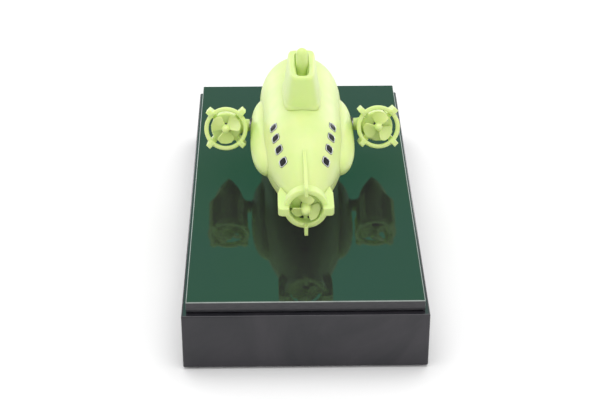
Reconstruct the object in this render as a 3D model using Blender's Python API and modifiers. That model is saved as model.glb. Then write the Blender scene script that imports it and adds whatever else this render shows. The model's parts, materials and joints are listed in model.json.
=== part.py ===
"""Toy motor submarine resting on a stepped display base.

Frame: metres, +Z up, +Y towards the bow, +X to starboard.  The origin is the
centre of the underside of the base, level with the soles of its rubber feet.
"""
import math

import bmesh
import bpy
from mathutils import Matrix, Vector

MM = 0.001

# ---------------------------------------------------------------- clearances
SEAT_GAP = 0.3 * MM          # between pieces that rest on or fit into each other
RUNNING_GAP = 0.3 * MM       # round anything that turns

# -------------------------------------------------------------- display base
BASE_WIDTH = 105.0 * MM
BASE_DEPTH = 213.3 * MM
BASE_TOP = 26.8 * MM         # height of the ledge round the platform
BASE_WALL = 2.5 * MM
BASE_EDGE = 0.6 * MM         # rounding of the outer edges
FOOT_STANDOFF = 0.6 * MM     # rim of the shell above the table
FOOT_RADIUS = 6.0 * MM
FOOT_INSET = 14.5 * MM       # foot centre from the side and end of the base
FOOT_THICKNESS = 1.6 * MM
COVER_THICKNESS = 2.2 * MM
COVER_STANDOFF = 0.8 * MM    # underside of the cover above the table
BOSS_RADIUS = 3.5 * MM
BOSS_INSET = 7.5 * MM        # boss centre from the side and end of the base
COVER_SCREW_TOP = 12.0 * MM
COVER_SCREW_SINK = 0.2 * MM  # head above the cover's underside
COVER_HEAD_DEPTH = 1.1 * MM
BORE_END = 2.0 * MM          # blind bore beyond the end of its screw
PLATFORM_SIDE_INSET = 2.0 * MM
PLATFORM_END_INSET = 2.8 * MM
PLATFORM_HEIGHT = 5.3 * MM
PLATFORM_EDGE = 0.5 * MM

# ------------------------------------------------------------ support cradle
BELLY_GAP = 2.8 * MM         # belly of the hull above the platform
CRADLE_WIDTH = 16.0 * MM
CRADLE_LENGTH = 26.0 * MM
CRADLE_RISE = 5.4 * MM       # top of the cradle's horns above the platform
CRADLE_CORNER = 2.5 * MM
CRADLE_SCREW_SINK = 0.5 * MM  # end of the screw below the platform's face
CRADLE_SCREW_HEAD = 3.4 * MM
CRADLE_HEAD_DEPTH = 1.8 * MM
STEM_RADIUS = 4.0 * MM
WASHER_RADIUS = 6.5 * MM
WASHER_THICKNESS = 1.2 * MM

# ------------------------------------------------- how the submarine is set down
SET_DOWN_TURN = 0.5          # degrees, bow to port
SET_DOWN_SHIFT = 0.3 * MM    # to starboard of the base's centreline

# ---------------------------------------------------------------------- hull
HULL_RADIUS = 19.7 * MM
HULL_WALL = 1.6 * MM
NOSE_TIP = 68.1 * MM
NOSE_START = 30.0 * MM
NOSE_FULLNESS = 3.4
TAIL_START = -8.0 * MM
TAIL_FULLNESS = 1.7
STERN_END = -59.2 * MM
STERN_RADIUS = 6.4 * MM
HULL_BOSS_RADIUS = 2.6 * MM
HULL_SCREW_RADIUS = 0.8 * MM
HULL_SCREW_HEAD = 1.7 * MM
HULL_HEAD_DEPTH = 1.5 * MM
HULL_HEAD_SINK = 2.4 * MM    # top of the head above the belly
HULL_SCREW_TOP = 8.0 * MM    # end of the screw above the hull's axis
HULL_SCREW_PLACES = {"hull_screw_fore": 38.0 * MM, "hull_screw_aft": -28.5 * MM}

# -------------------------------------------------------------- saddle tanks
TANK_RADIUS = 9.0 * MM
TANK_OUTER = HULL_RADIUS + 4.6 * MM   # half width over the tanks
TANK_CENTRE = 5.0 * MM
TANK_HALF_LENGTH = 37.0 * MM

# ------------------------------------------------------------- conning tower
TOWER_AFT = -8.6 * MM
TOWER_FORE = 22.5 * MM
TOWER_RISE = 15.5 * MM       # rim above the top of the hull
TOWER_BASE_WIDTH = 17.2 * MM
TOWER_RIM_WIDTH = 12.4 * MM
TOWER_RIM_WALL = 2.9 * MM
TOWER_RAKE = 1.0 * MM        # how far the ends lean in towards the rim
TOWER_ROOT = 4.0 * MM        # foot below the top of the hull
TOWER_LIP = 0.9 * MM
TOWER_BLUNTNESS_FORE = 5.0
TOWER_BLUNTNESS_AFT = 4.5
TOWER_TAPER = 0.10           # narrowing towards the after end
WELL_DEPTH = 8.0 * MM
PERISCOPE_RADIUS = 2.75 * MM
COLUMN_RADIUS = 2.35 * MM
PERISCOPE_PLACE = 6.3 * MM
PERISCOPE_RISE = 8.6 * MM    # dome above the tower's rim

# ------------------------------------------------------------------- windows
WINDOW_LENGTH = 4.7 * MM
WINDOW_HEIGHT = 4.1 * MM
WINDOW_CORNER = 1.2 * MM
WINDOW_FIRST = -14.7 * MM
WINDOW_PITCH = 8.5 * MM
WINDOW_COUNT = 4
WINDOW_TILT = 45.3           # degrees above the waterline
WINDOW_PROUD = 0.15 * MM
WINDOW_DEPTH = 1.3 * MM

# -------------------------------------------------------------- stern nozzle
NOZZLE_RADIUS = 9.66 * MM
NOZZLE_BORE = 7.2 * MM
NOZZLE_LENGTH = 5.2 * MM
NOZZLE_STANDOFF = 0.9 * MM   # ring's front edge behind the face of the tail cap
TAIL_CAP = 1.7 * MM
FIN_SPAN = 12.2 * MM         # outer edge of the four tail fins from the axis
FIN_OVERHANG = 2.7 * MM      # after edge of the fins behind the ring
RUDDER_THICKNESS = 1.6 * MM
RUDDER_FRONT = -38.0 * MM
KEEL_FRONT = -52.5 * MM
ELEVATOR_THICKNESS = 3.7 * MM
ELEVATOR_FRONT = -48.5 * MM
ELEVATOR_SWEEP = 5.5 * MM    # leading edge runs this far aft to the full span
ELEVATOR_CORNER = 1.6 * MM
LIP_SOFTNESS = 0.5 * MM      # rounding of the rings' lips
OVERLAP = 0.2 * MM           # how deep joined shapes reach into each other

# ---------------------------------------------------------- propeller drives
SHAFT_RADIUS = 0.5 * MM
SEAL_RADIUS = 2.0 * MM
STERN_MOTOR_RADIUS = 3.6 * MM
STERN_MOTOR_LENGTH = 18.0 * MM
STERN_PROP_RADIUS = 6.6 * MM
STERN_HUB_RADIUS = 2.2 * MM
STERN_HUB_LENGTH = 6.9 * MM
STERN_BLADE_ANGLES = (-30.0, 90.0, 210.0)
SHAFT_IN_MOTOR = 2.6 * MM    # depth of the motor's blind hole
SHAFT_IN_HUB = 3.6 * MM
BLADE_THICKNESS = 0.6 * MM
BLADE_WIDTH = 0.60           # half width over the tip radius
BLADE_ROOT_PITCH = 40.0      # degrees
BLADE_TIP_PITCH = 24.0

# ------------------------------------------------------------------ side pods
PIVOT_Y = 14.9 * MM
POD_PITCH = -22.0            # degrees, nose down, as the pods are left
POD_OFFSET = TANK_OUTER + 11.3 * MM
POD_RADIUS = 7.04 * MM
POD_WALL = 1.4 * MM
POD_NOSE = 18.0 * MM
POD_SHOULDER = 4.0 * MM
POD_POINT = 1.6              # 1 is a straight cone, 2 a rounded one
POD_SPIGOT = 1.2 * MM        # nose into the housing
POD_TAIL = -12.6 * MM
POD_CAP = 1.6 * MM
STRUT_RADIUS = 2.9 * MM
STRUT_FLARE = 0.554 * POD_RADIUS - STRUT_RADIUS   # clears the guard's fins
TUBE_RADIUS = 2.0 * MM
TUBE_BORE = 1.3 * MM
BUSH_WALL = 1.1 * MM
GUARD_PLACE = -16.5 * MM
GUARD_RADIUS = 10.1 * MM
GUARD_BORE = 8.14 * MM
GUARD_DEPTH = 2.6 * MM
FIN_REACH = 12.0 * MM
FIN_THICKNESS = 2.5 * MM
FIN_SHOULDER = -3.0 * MM     # fins keep their full reach as far forward as this
FIN_FRONT = 3.6 * MM
FIN_TRAIL = 0.5 * MM         # fins behind the guard ring
POD_MOTOR_RADIUS = 3.6 * MM
POD_MOTOR_LENGTH = 13.0 * MM
POD_PROP_RADIUS = 7.1 * MM
POD_HUB_RADIUS = 1.9 * MM
POD_HUB_LENGTH = 5.6 * MM
PORT_BLADE_ANGLES = (30.0, 150.0, 270.0)
STARBOARD_BLADE_ANGLES = (80.0, 200.0, 320.0)

# ------------------------------------------------------------------ internals
CHASSIS_WIDTH = 24.0 * MM
CHASSIS_AFT = -22.0 * MM
CHASSIS_FORE = 34.0 * MM
CHASSIS_TOP = -14.0 * MM     # below the hull's axis
POST_RADIUS = 1.3 * MM
POST_SPREAD = 8.1 * MM
BATTERY_SIZE = Vector((13.0, 30.0, 8.5)) * MM
BALLAST_SIZE = Vector((13.0, 12.0, 7.0)) * MM
BOARD_SIZE = Vector((20.0, 46.0, 1.2)) * MM
BOARD_HEIGHT = 7.2 * MM      # underside above the hull's axis
SOCKET_RADIUS = 1.6 * MM
SOCKET_LENGTH = 4.6 * MM
SOCKET_PLACE = -45.0 * MM
SOCKET_PIN = 0.6 * MM
SOCKET_FLOOR = 1.0 * MM
SOCKET_PROUD = 0.2 * MM

# ------------------------------------------------------- facets of round work
FINE = 28
MEDIUM = 16
COARSE = 10

# ------------------------------------------------------------ derived places
PLATFORM_TOP = BASE_TOP + PLATFORM_HEIGHT
AXIS_Z = PLATFORM_TOP + BELLY_GAP + HULL_RADIUS
TOWER_RIM = AXIS_Z + HULL_RADIUS + TOWER_RISE
WELL_FLOOR = TOWER_RIM - WELL_DEPTH
NOZZLE_FACE = STERN_END - SEAT_GAP
NOZZLE_RIM = NOZZLE_FACE - NOZZLE_STANDOFF - NOZZLE_LENGTH
BUSH_BORE = TUBE_RADIUS + RUNNING_GAP
BUSH_RADIUS = BUSH_BORE + BUSH_WALL
SHAFT_HOLE = SHAFT_RADIUS + RUNNING_GAP
CUT = 200.0 * MM             # reach of a cutter that passes right through

# -------------------------------------------------------------------- colours
LIME = ((0.47, 0.80, 0.13), 0.38, 0.0)
GLOSS_BLACK = ((0.010, 0.014, 0.014), 0.12, 0.0)
GREEN_GLASS = ((0.008, 0.040, 0.022), 0.05, 0.0)
BLACK_PLASTIC = ((0.018, 0.018, 0.020), 0.45, 0.0)
RUBBER = ((0.025, 0.025, 0.025), 0.85, 0.0)
STEEL = ((0.55, 0.56, 0.58), 0.30, 1.0)
BRASS = ((0.78, 0.58, 0.27), 0.30, 1.0)
DARK_GLASS = ((0.010, 0.012, 0.014), 0.10, 0.0)
FOIL = ((0.60, 0.62, 0.64), 0.42, 0.6)
BOARD_GREEN = ((0.02, 0.16, 0.07), 0.40, 0.0)


# ------------------------------------------------------------- scene and looks
def clear_scene():
    for item in list(bpy.data.objects):
        bpy.data.objects.remove(item, do_unlink=True)


def make_collection(name):
    collection = bpy.data.collections.new(name)
    bpy.context.scene.collection.children.link(collection)
    return collection


clear_scene()
PARTS = make_collection("toy_submarine_on_base")
TOOLS = make_collection("cutters")


def finish(item, look):
    colour, roughness, metallic = look
    material = bpy.data.materials.new(item.name + "_finish")
    material.use_nodes = True
    shader = material.node_tree.nodes["Principled BSDF"]
    shader.inputs["Base Color"].default_value = (*colour, 1.0)
    shader.inputs["Roughness"].default_value = roughness
    shader.inputs["Metallic"].default_value = metallic
    item.data.materials.append(material)


def add_object(name, mesh, look=None, place=None, parent=None):
    """A part when it has a look, otherwise a cutter or a shape to be joined."""
    item = bpy.data.objects.new(name, mesh)
    if look is None:
        TOOLS.objects.link(item)
        item.hide_render = True
        item.display_type = "WIRE"
    else:
        PARTS.objects.link(item)
        finish(item, look)
    item.parent = parent
    item.matrix_local = place if place is not None else Matrix.Identity(4)
    return item


# --------------------------------------------------------------- basic shapes
def along_x(x=0.0, y=0.0, z=0.0):
    return Matrix.Translation((x, y, z)) @ Matrix.Rotation(math.pi / 2, 4, "Y")


def along_y(x=0.0, y=0.0, z=0.0):
    return Matrix.Translation((x, y, z)) @ Matrix.Rotation(-math.pi / 2, 4, "X")


def block(name, size, centre, look=None, parent=None, edge=0.0, corner=0.0, place=None):
    """A box; edge rounds every edge, corner only the four upright ones."""
    shape = bmesh.new()
    bmesh.ops.create_cube(shape, size=1.0)
    bmesh.ops.scale(shape, vec=size, verts=shape.verts)
    bmesh.ops.translate(shape, vec=centre, verts=shape.verts)
    if corner:
        upright = [line for line in shape.edges
                   if abs(line.verts[0].co.z - line.verts[1].co.z) > size[2] / 2]
        bmesh.ops.bevel(shape, geom=upright, offset=corner, segments=3,
                        affect="EDGES", profile=0.5)
    mesh = bpy.data.meshes.new(name)
    shape.to_mesh(mesh)
    shape.free()
    item = add_object(name, mesh, look, place, parent)
    if edge:
        rounding = item.modifiers.new("rounded_edges", "BEVEL")
        rounding.width = edge
        rounding.segments = 2
        rounding.limit_method = "NONE"
    return item


def signed_area(outline):
    total = 0.0
    for (r0, h0), (r1, h1) in zip(outline, outline[1:] + outline[:1]):
        total += r0 * h1 - r1 * h0
    return total / 2


def turned(name, outline, steps, place, look=None, parent=None, ring=False):
    """Turn an outline of (radius, height) about local Z.

    A ring outline is closed on itself; any other runs from axis to axis.
    """
    points = list(outline)
    if signed_area(points) > 0:
        points.reverse()
    mesh = bpy.data.meshes.new(name)
    edges = [(i, i + 1) for i in range(len(points) - 1)]
    if ring:
        edges.append((len(points) - 1, 0))
    mesh.from_pydata([(r, 0.0, h) for r, h in points], edges, [])
    item = add_object(name, mesh, look, place, parent)
    screw = item.modifiers.new("turn", "SCREW")
    screw.steps = steps
    screw.render_steps = steps
    screw.angle = 2 * math.pi
    screw.use_merge_vertices = True
    screw.merge_threshold = 0.00001
    screw.use_smooth_shade = True
    return item


def rod(name, radius, low, high, steps, place, look=None, parent=None):
    """A cylinder between two heights on local Z."""
    shape = bmesh.new()
    bmesh.ops.create_cone(shape, cap_ends=True, segments=steps, radius1=radius, radius2=radius,
                          depth=high - low)
    bmesh.ops.translate(shape, vec=(0, 0, (low + high) / 2), verts=shape.verts)
    for face in shape.faces:
        face.smooth = abs(face.normal.z) < 0.5
    mesh = bpy.data.meshes.new(name)
    shape.to_mesh(mesh)
    shape.free()
    return add_object(name, mesh, look, place, parent)


def sleeve(name, bore, radius, low, high, steps, place, look=None, parent=None):
    outline = [(bore, high), (radius, high), (radius, low), (bore, low)]
    return turned(name, outline, steps, place, look, parent, ring=True)


def plate(name, outline, thickness, place, look=None, parent=None):
    """A flat outline in local X and Y, given thickness along local Z."""
    curve = bpy.data.curves.new(name, "CURVE")
    curve.dimensions = "2D"
    curve.fill_mode = "BOTH"
    curve.extrude = thickness / 2
    spline = curve.splines.new("POLY")
    spline.points.add(len(outline) - 1)
    for point, (x, y) in zip(spline.points, outline):
        point.co = (x, y, 0.0, 1.0)
    spline.use_cyclic_u = True
    flat = bpy.data.objects.new(name + "_outline", curve)
    TOOLS.objects.link(flat)
    graph = bpy.context.evaluated_depsgraph_get()
    mesh = bpy.data.meshes.new_from_object(flat.evaluated_get(graph))
    mesh.transform(flat.matrix_world)
    bpy.data.objects.remove(flat)
    shape = bmesh.new()
    shape.from_mesh(mesh)
    bmesh.ops.remove_doubles(shape, verts=shape.verts, dist=0.001 * MM)
    bmesh.ops.recalc_face_normals(shape, faces=shape.faces)
    shape.to_mesh(mesh)
    shape.free()
    return add_object(name, mesh, look, place, parent)


def loft(name, sections, look=None, place=None, parent=None):
    """Skin closed sections of equal count, with flat ends."""
    shape = bmesh.new()
    rows = [[shape.verts.new(point) for point in section] for section in sections]
    count = len(rows[0])
    for lower, upper in zip(rows, rows[1:]):
        for i in range(count):
            j = (i + 1) % count
            shape.faces.new((lower[i], lower[j], upper[j], upper[i]))
    shape.faces.new(rows[0])
    shape.faces.new(rows[-1])
    bmesh.ops.recalc_face_normals(shape, faces=shape.faces)
    mesh = bpy.data.meshes.new(name)
    shape.to_mesh(mesh)
    shape.free()
    return add_object(name, mesh, look, place, parent)


def combine(item, other, operation):
    step = item.modifiers.new(operation.lower() + "_" + other.name, "BOOLEAN")
    step.operation = operation
    step.solver = "EXACT"
    step.object = other


def cut(item, *cutters):
    for cutter in cutters:
        combine(item, cutter, "DIFFERENCE")


def join(item, *others):
    for other in others:
        combine(item, other, "UNION")


def half_ball(radius, top, steps=4):
    """Outline of a dome that ends on the axis at the given height."""
    points = []
    for i in range(steps + 1):
        angle = i / steps * math.pi / 2
        points.append((radius * math.sin(angle), top - radius * (1 - math.cos(angle))))
    return points


# --------------------------------------------------------------- display base
def corners(side_inset, end_inset):
    x = BASE_WIDTH / 2 - side_inset
    y = BASE_DEPTH / 2 - end_inset
    return {
        "stern_port": (-x, -y),
        "stern_starboard": (x, -y),
        "bow_port": (-x, y),
        "bow_starboard": (x, y),
    }


def make_base_shell():
    height = BASE_TOP - FOOT_STANDOFF
    middle = Vector((0, 0, FOOT_STANDOFF + height / 2))
    shell = block("base_shell", (BASE_WIDTH, BASE_DEPTH, height), middle, GLOSS_BLACK,
                  edge=BASE_EDGE)
    inside = Vector((BASE_WIDTH - 2 * BASE_WALL, BASE_DEPTH - 2 * BASE_WALL, height))
    cut(shell, block("shell_hollow", inside, middle - Vector((0, 0, BASE_WALL))))
    boss_low = COVER_STANDOFF + COVER_THICKNESS + SEAT_GAP
    for name, (x, y) in corners(BOSS_INSET, BOSS_INSET).items():
        place = Matrix.Translation((x, y, 0))
        join(shell, rod("boss_" + name, BOSS_RADIUS, boss_low, BASE_TOP - BASE_WALL / 2,
                        MEDIUM, place))
        cut(shell, rod("boss_hole_" + name, HULL_SCREW_RADIUS + SEAT_GAP,
                       boss_low - BASE_WALL, COVER_SCREW_TOP + BORE_END, COARSE, place))
    cut(shell, rod("stem_hole_in_shell", STEM_RADIUS + SEAT_GAP, BASE_TOP - 2 * BASE_WALL,
                   BASE_TOP + BASE_WALL, MEDIUM, Matrix.Identity(4)))


def make_platform():
    size = Vector((BASE_WIDTH - 2 * PLATFORM_SIDE_INSET,
                   BASE_DEPTH - 2 * PLATFORM_END_INSET,
                   PLATFORM_HEIGHT - SEAT_GAP))
    middle = Vector((0, 0, PLATFORM_TOP - size.z / 2))
    platform = block("platform_plate", size, middle, GREEN_GLASS, edge=PLATFORM_EDGE)
    cut(platform, rod("stem_hole_in_platform", STEM_RADIUS + SEAT_GAP, BASE_TOP - BASE_WALL,
                      PLATFORM_TOP + BASE_WALL, MEDIUM, Matrix.Identity(4)))


def make_base_cover():
    inset = BASE_WALL + SEAT_GAP
    size = Vector((BASE_WIDTH - 2 * inset, BASE_DEPTH - 2 * inset, COVER_THICKNESS))
    middle = Vector((0, 0, COVER_STANDOFF + COVER_THICKNESS / 2))
    cover = block("base_cover", size, middle, BLACK_PLASTIC)
    top = COVER_STANDOFF + COVER_THICKNESS
    for name, (x, y) in corners(BOSS_INSET, BOSS_INSET).items():
        place = Matrix.Translation((x, y, 0))
        head_low = COVER_STANDOFF + COVER_SCREW_SINK
        head_top = head_low + COVER_HEAD_DEPTH
        outline = [(0, top + MM), (HULL_SCREW_RADIUS + SEAT_GAP, top + MM),
                   (HULL_SCREW_RADIUS + SEAT_GAP, head_top + SEAT_GAP),
                   (HULL_SCREW_HEAD + SEAT_GAP, head_top + SEAT_GAP),
                   (HULL_SCREW_HEAD + SEAT_GAP, 0), (0, 0)]
        cut(cover, turned("cover_screw_hole_" + name, outline, COARSE, place))
        screw = [(0, COVER_SCREW_TOP), (HULL_SCREW_RADIUS, COVER_SCREW_TOP),
                 (HULL_SCREW_RADIUS, head_top), (HULL_SCREW_HEAD, head_top),
                 (HULL_SCREW_HEAD, head_low), (0, head_low)]
        turned("cover_screw_" + name, screw, COARSE, place, STEEL)
    for name, (x, y) in corners(FOOT_INSET, FOOT_INSET).items():
        place = Matrix.Translation((x, y, 0))
        cut(cover, rod("foot_recess_" + name, FOOT_RADIUS + SEAT_GAP, 0,
                       FOOT_THICKNESS + SEAT_GAP, MEDIUM, place))
        rod("base_foot_" + name, FOOT_RADIUS, 0, FOOT_THICKNESS, MEDIUM, place, RUBBER)


def make_cradle(hull_space):
    """A saddle under the belly, on a stem clamped through the platform."""
    low = PLATFORM_TOP + SEAT_GAP
    high = PLATFORM_TOP + CRADLE_RISE
    middle = Vector((0, 0, (low + high) / 2))
    saddle = block("support_cradle", (CRADLE_WIDTH, CRADLE_LENGTH, high - low), middle,
                   BLACK_PLASTIC, corner=CRADLE_CORNER)
    shell_under = BASE_TOP - BASE_WALL
    stem_low = shell_under + SEAT_GAP
    upright = Matrix.Identity(4)
    join(saddle, rod("stem", STEM_RADIUS, stem_low, low + OVERLAP, MEDIUM, upright))
    cut(saddle, hull_space)
    bore = HULL_SCREW_RADIUS + SEAT_GAP
    screw_top = PLATFORM_TOP - CRADLE_SCREW_SINK
    cut(saddle, rod("stem_bore", bore, stem_low - MM, screw_top + SEAT_GAP, COARSE, upright))
    washer_top = shell_under - SEAT_GAP
    washer_low = washer_top - WASHER_THICKNESS
    sleeve("cradle_washer", bore, WASHER_RADIUS, washer_low, washer_top, MEDIUM, upright, STEEL)
    head_top = washer_low - SEAT_GAP
    head_low = head_top - CRADLE_HEAD_DEPTH
    screw = [(0, screw_top), (HULL_SCREW_RADIUS, screw_top), (HULL_SCREW_RADIUS, head_top),
             (CRADLE_SCREW_HEAD, head_top), (CRADLE_SCREW_HEAD, head_low), (0, head_low)]
    turned("cradle_screw", screw, COARSE, upright, STEEL)


# ------------------------------------------------------------------------ hull
def hull_radius(y):
    """Radius of the bare hull at a station along its length."""
    if y > NOSE_START:
        share = min((y - NOSE_START) / (NOSE_TIP - NOSE_START), 1.0)
        return HULL_RADIUS * math.sqrt(max(1 - share ** NOSE_FULLNESS, 0.0))
    if y < TAIL_START:
        share = (TAIL_START - y) / (TAIL_START - STERN_END)
        return STERN_RADIUS + (HULL_RADIUS - STERN_RADIUS) * (1 - share ** TAIL_FULLNESS)
    return HULL_RADIUS


def hull_outline(offset):
    """(radius, y) from the nose to the stern, moved outwards by offset."""
    points = []
    nose_steps = 8
    for i in range(nose_steps + 1):
        share = math.sin((1 - i / nose_steps) * math.pi / 2)
        y = NOSE_START + (NOSE_TIP - NOSE_START) * share
        radius = hull_radius(y)
        ahead = offset * share
        points.append((radius + offset * (1 - share) + offset * radius / HULL_RADIUS * share
                       if i else 0.0, y + ahead))
    tail_steps = 8
    for i in range(tail_steps + 1):
        y = TAIL_START + (STERN_END - TAIL_START) * i / tail_steps
        points.append((hull_radius(y) + offset, y))
    return points


def make_hull_space(name, offset):
    """A solid of the hull's own shape, grown by offset, used as a cutter."""
    outline = hull_outline(offset)
    outline.append((0.0, outline[-1][1]))
    return turned(name, outline, FINE, along_y(z=AXIS_Z))


def make_hull_half(name, upper, pivot_hole, window_holes):
    outline = hull_outline(0.0) + hull_outline(-HULL_WALL)[::-1]
    half = turned(name, outline, FINE, along_y(z=AXIS_Z), LIME)
    side = 1 if upper else -1
    waste = Vector((0, 0, AXIS_Z + side * SEAT_GAP / 2 - side * CUT / 2))
    cut(half, block(name + "_waste", (CUT, CUT, CUT), waste))
    for screw_name, y in HULL_SCREW_PLACES.items():
        wall_middle = hull_radius(y) - HULL_WALL / 2
        place = Matrix.Translation((0, y, AXIS_Z))
        near = side * SEAT_GAP / 2
        low, high = sorted((near, side * wall_middle))
        join(half, rod(name + "_boss_" + screw_name, HULL_BOSS_RADIUS, low, high, MEDIUM, place))
        bore = HULL_SCREW_RADIUS + SEAT_GAP
        if upper:
            bore_top = HULL_SCREW_TOP + SEAT_GAP
            cut(half, rod(name + "_bore_" + screw_name, bore, -MM, bore_top, COARSE, place))
        else:
            head_seat = head_height(y) + SEAT_GAP
            hole = [(0, MM), (bore, MM), (bore, head_seat),
                    (HULL_SCREW_HEAD + SEAT_GAP, head_seat),
                    (HULL_SCREW_HEAD + SEAT_GAP, -CUT / 4), (0, -CUT / 4)]
            cut(half, turned(name + "_bore_" + screw_name, hole, COARSE, place))
    cut(half, pivot_hole)
    if upper:
        cut(half, *window_holes)
    else:
        hole_top = SOCKET_LENGTH - hull_radius(SOCKET_PLACE)
        cut(half, rod("socket_hole", SOCKET_RADIUS + SEAT_GAP, -CUT / 4, hole_top, COARSE,
                      Matrix.Translation((0, SOCKET_PLACE, AXIS_Z))))
    return half


def head_height(y):
    """Top of a hull screw's head, measured from the hull's axis."""
    return HULL_HEAD_SINK - hull_radius(y)


def make_hull_screws():
    for name, y in HULL_SCREW_PLACES.items():
        top = HULL_SCREW_TOP
        seat = head_height(y)
        low = seat - HULL_HEAD_DEPTH
        outline = [(0, top), (HULL_SCREW_RADIUS, top), (HULL_SCREW_RADIUS, seat),
                   (HULL_SCREW_HEAD, seat), (HULL_SCREW_HEAD, low), (0, low)]
        turned(name, outline, COARSE, Matrix.Translation((0, y, AXIS_Z)), STEEL)


def make_saddle_tank(name, side, hull_space, pivot_hole):
    steps = 12
    outline = []
    for i in range(steps + 1):
        share = math.cos(i / steps * math.pi)
        radius = TANK_RADIUS * math.sqrt(max(1 - abs(share) ** 3, 0.0))
        outline.append((radius if 0 < i < steps else 0.0, TANK_HALF_LENGTH * share))
    place = along_y(side * (TANK_OUTER - TANK_RADIUS), TANK_CENTRE, AXIS_Z)
    tank = turned(name, outline, MEDIUM, place, LIME)
    cut(tank, hull_space, pivot_hole)


def window_frames():
    """Name and place of each window, local Z pointing out of the hull."""
    frames = {}
    for side, side_name in ((-1, "port"), (1, "starboard")):
        for i in range(WINDOW_COUNT):
            y = WINDOW_FIRST - i * WINDOW_PITCH
            tilt = math.radians(WINDOW_TILT)
            rise = hull_radius(y + MM) - hull_radius(y - MM)
            slope = math.atan2(rise, 2 * MM)
            out = Vector((side * math.cos(tilt), 0, math.sin(tilt)))
            centre = Vector((0, y, AXIS_Z)) + out * hull_radius(y)
            forward = Vector((0, math.cos(slope), 0)) + out * math.sin(slope)
            normal = out * math.cos(slope) - Vector((0, math.sin(slope), 0))
            across = forward.cross(normal)
            axes = Matrix((across, forward, normal)).transposed().to_4x4()
            frames[f"{side_name}_window_{i + 1}"] = Matrix.Translation(centre) @ axes
    return frames


def make_window_holes():
    size = (WINDOW_HEIGHT + 2 * SEAT_GAP, WINDOW_LENGTH + 2 * SEAT_GAP, 6 * MM)
    return [block(name + "_hole", size, (0, 0, 0), corner=WINDOW_CORNER + SEAT_GAP, place=place)
            for name, place in window_frames().items()]


def make_windows():
    size = (WINDOW_HEIGHT, WINDOW_LENGTH, WINDOW_DEPTH)
    middle = (0, 0, WINDOW_PROUD - WINDOW_DEPTH / 2)
    for name, place in window_frames().items():
        block(name, size, middle, DARK_GLASS, corner=WINDOW_CORNER, place=place)


# --------------------------------------------------------------- conning tower
def tower_section(z, half_width, aft, fore, count=28):
    """A section between an oval and a rectangle, narrower towards the after end."""
    middle = (aft + fore) / 2
    half_length = (fore - aft) / 2
    points = []
    for i in range(count):
        angle = (i + 0.5) / count * 2 * math.pi
        bluntness = TOWER_BLUNTNESS_FORE if math.sin(angle) > 0 else TOWER_BLUNTNESS_AFT
        x = math.copysign(abs(math.cos(angle)) ** (2 / bluntness), math.cos(angle))
        y = math.copysign(abs(math.sin(angle)) ** (2 / bluntness), math.sin(angle))
        taper = 1 - TOWER_TAPER * max(-y, 0.0)
        points.append((half_width * x * taper, middle + half_length * y, z))
    return points


def make_tower(hull_space):
    deck = AXIS_Z + HULL_RADIUS
    foot = deck - TOWER_ROOT
    base_half = TOWER_BASE_WIDTH / 2
    rim_half = TOWER_RIM_WIDTH / 2
    rim_aft = TOWER_AFT + TOWER_RAKE
    rim_fore = TOWER_FORE - 2 * TOWER_RAKE
    tower = loft("conning_tower", [
        tower_section(foot, base_half, TOWER_AFT, TOWER_FORE),
        tower_section(deck, base_half, TOWER_AFT, TOWER_FORE),
        tower_section(TOWER_RIM - TOWER_LIP, rim_half, rim_aft, rim_fore),
        tower_section(TOWER_RIM, rim_half - TOWER_LIP, rim_aft + TOWER_LIP, rim_fore - TOWER_LIP),
    ], LIME)
    cut(tower, hull_space)
    well_half = rim_half - TOWER_RIM_WALL
    well_aft = rim_aft + TOWER_RIM_WALL
    well_fore = rim_fore - TOWER_RIM_WALL
    cut(tower, loft("bridge_well", [
        tower_section(WELL_FLOOR, well_half, well_aft, well_fore),
        tower_section(TOWER_RIM + MM, well_half, well_aft, well_fore),
    ]))
    top = TOWER_RIM + PERISCOPE_RISE
    low = WELL_FLOOR + SEAT_GAP
    outline = half_ball(PERISCOPE_RADIUS, top)
    outline += [(PERISCOPE_RADIUS, TOWER_RIM), (COLUMN_RADIUS, TOWER_RIM - WELL_DEPTH / 2),
                (COLUMN_RADIUS, low), (0.0, low)]
    turned("periscope", outline, MEDIUM, Matrix.Translation((0, PERISCOPE_PLACE, 0)), LIME)


# ---------------------------------------------------------------- stern nozzle
def soft_hoop(bore, radius, low, high):
    """Outline of a ring with softened lips."""
    soft = LIP_SOFTNESS
    return [(bore, low + soft), (bore + soft, low), (radius - soft, low), (radius, low + soft),
            (radius, high - soft), (radius - soft, high), (bore + soft, high), (bore, high - soft)]


def fin_outline(start, swept):
    """Outline of a tail fin as (y, radius); swept gives the elevators' planform."""
    back = NOZZLE_RIM - FIN_OVERHANG
    inner = NOZZLE_BORE + OVERLAP
    root = hull_radius(start)
    buried = STERN_RADIUS - HULL_WALL
    if swept:
        corner = ELEVATOR_CORNER
        edge = [(start, root), (start - ELEVATOR_SWEEP, FIN_SPAN), (back + corner, FIN_SPAN),
                (back + 0.3 * corner, FIN_SPAN - 0.3 * corner), (back, FIN_SPAN - corner)]
    else:
        corner = LIP_SOFTNESS
        edge = [(start, root + 2 * SEAT_GAP), (back + corner, FIN_SPAN), (back, FIN_SPAN - corner)]
    cap_edge = NOZZLE_FACE - TAIL_CAP + OVERLAP
    foot = [(back, inner), (cap_edge, inner), (cap_edge, buried), (NOZZLE_FACE - OVERLAP, buried),
            (start, root - HULL_WALL)]
    return edge + foot


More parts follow.
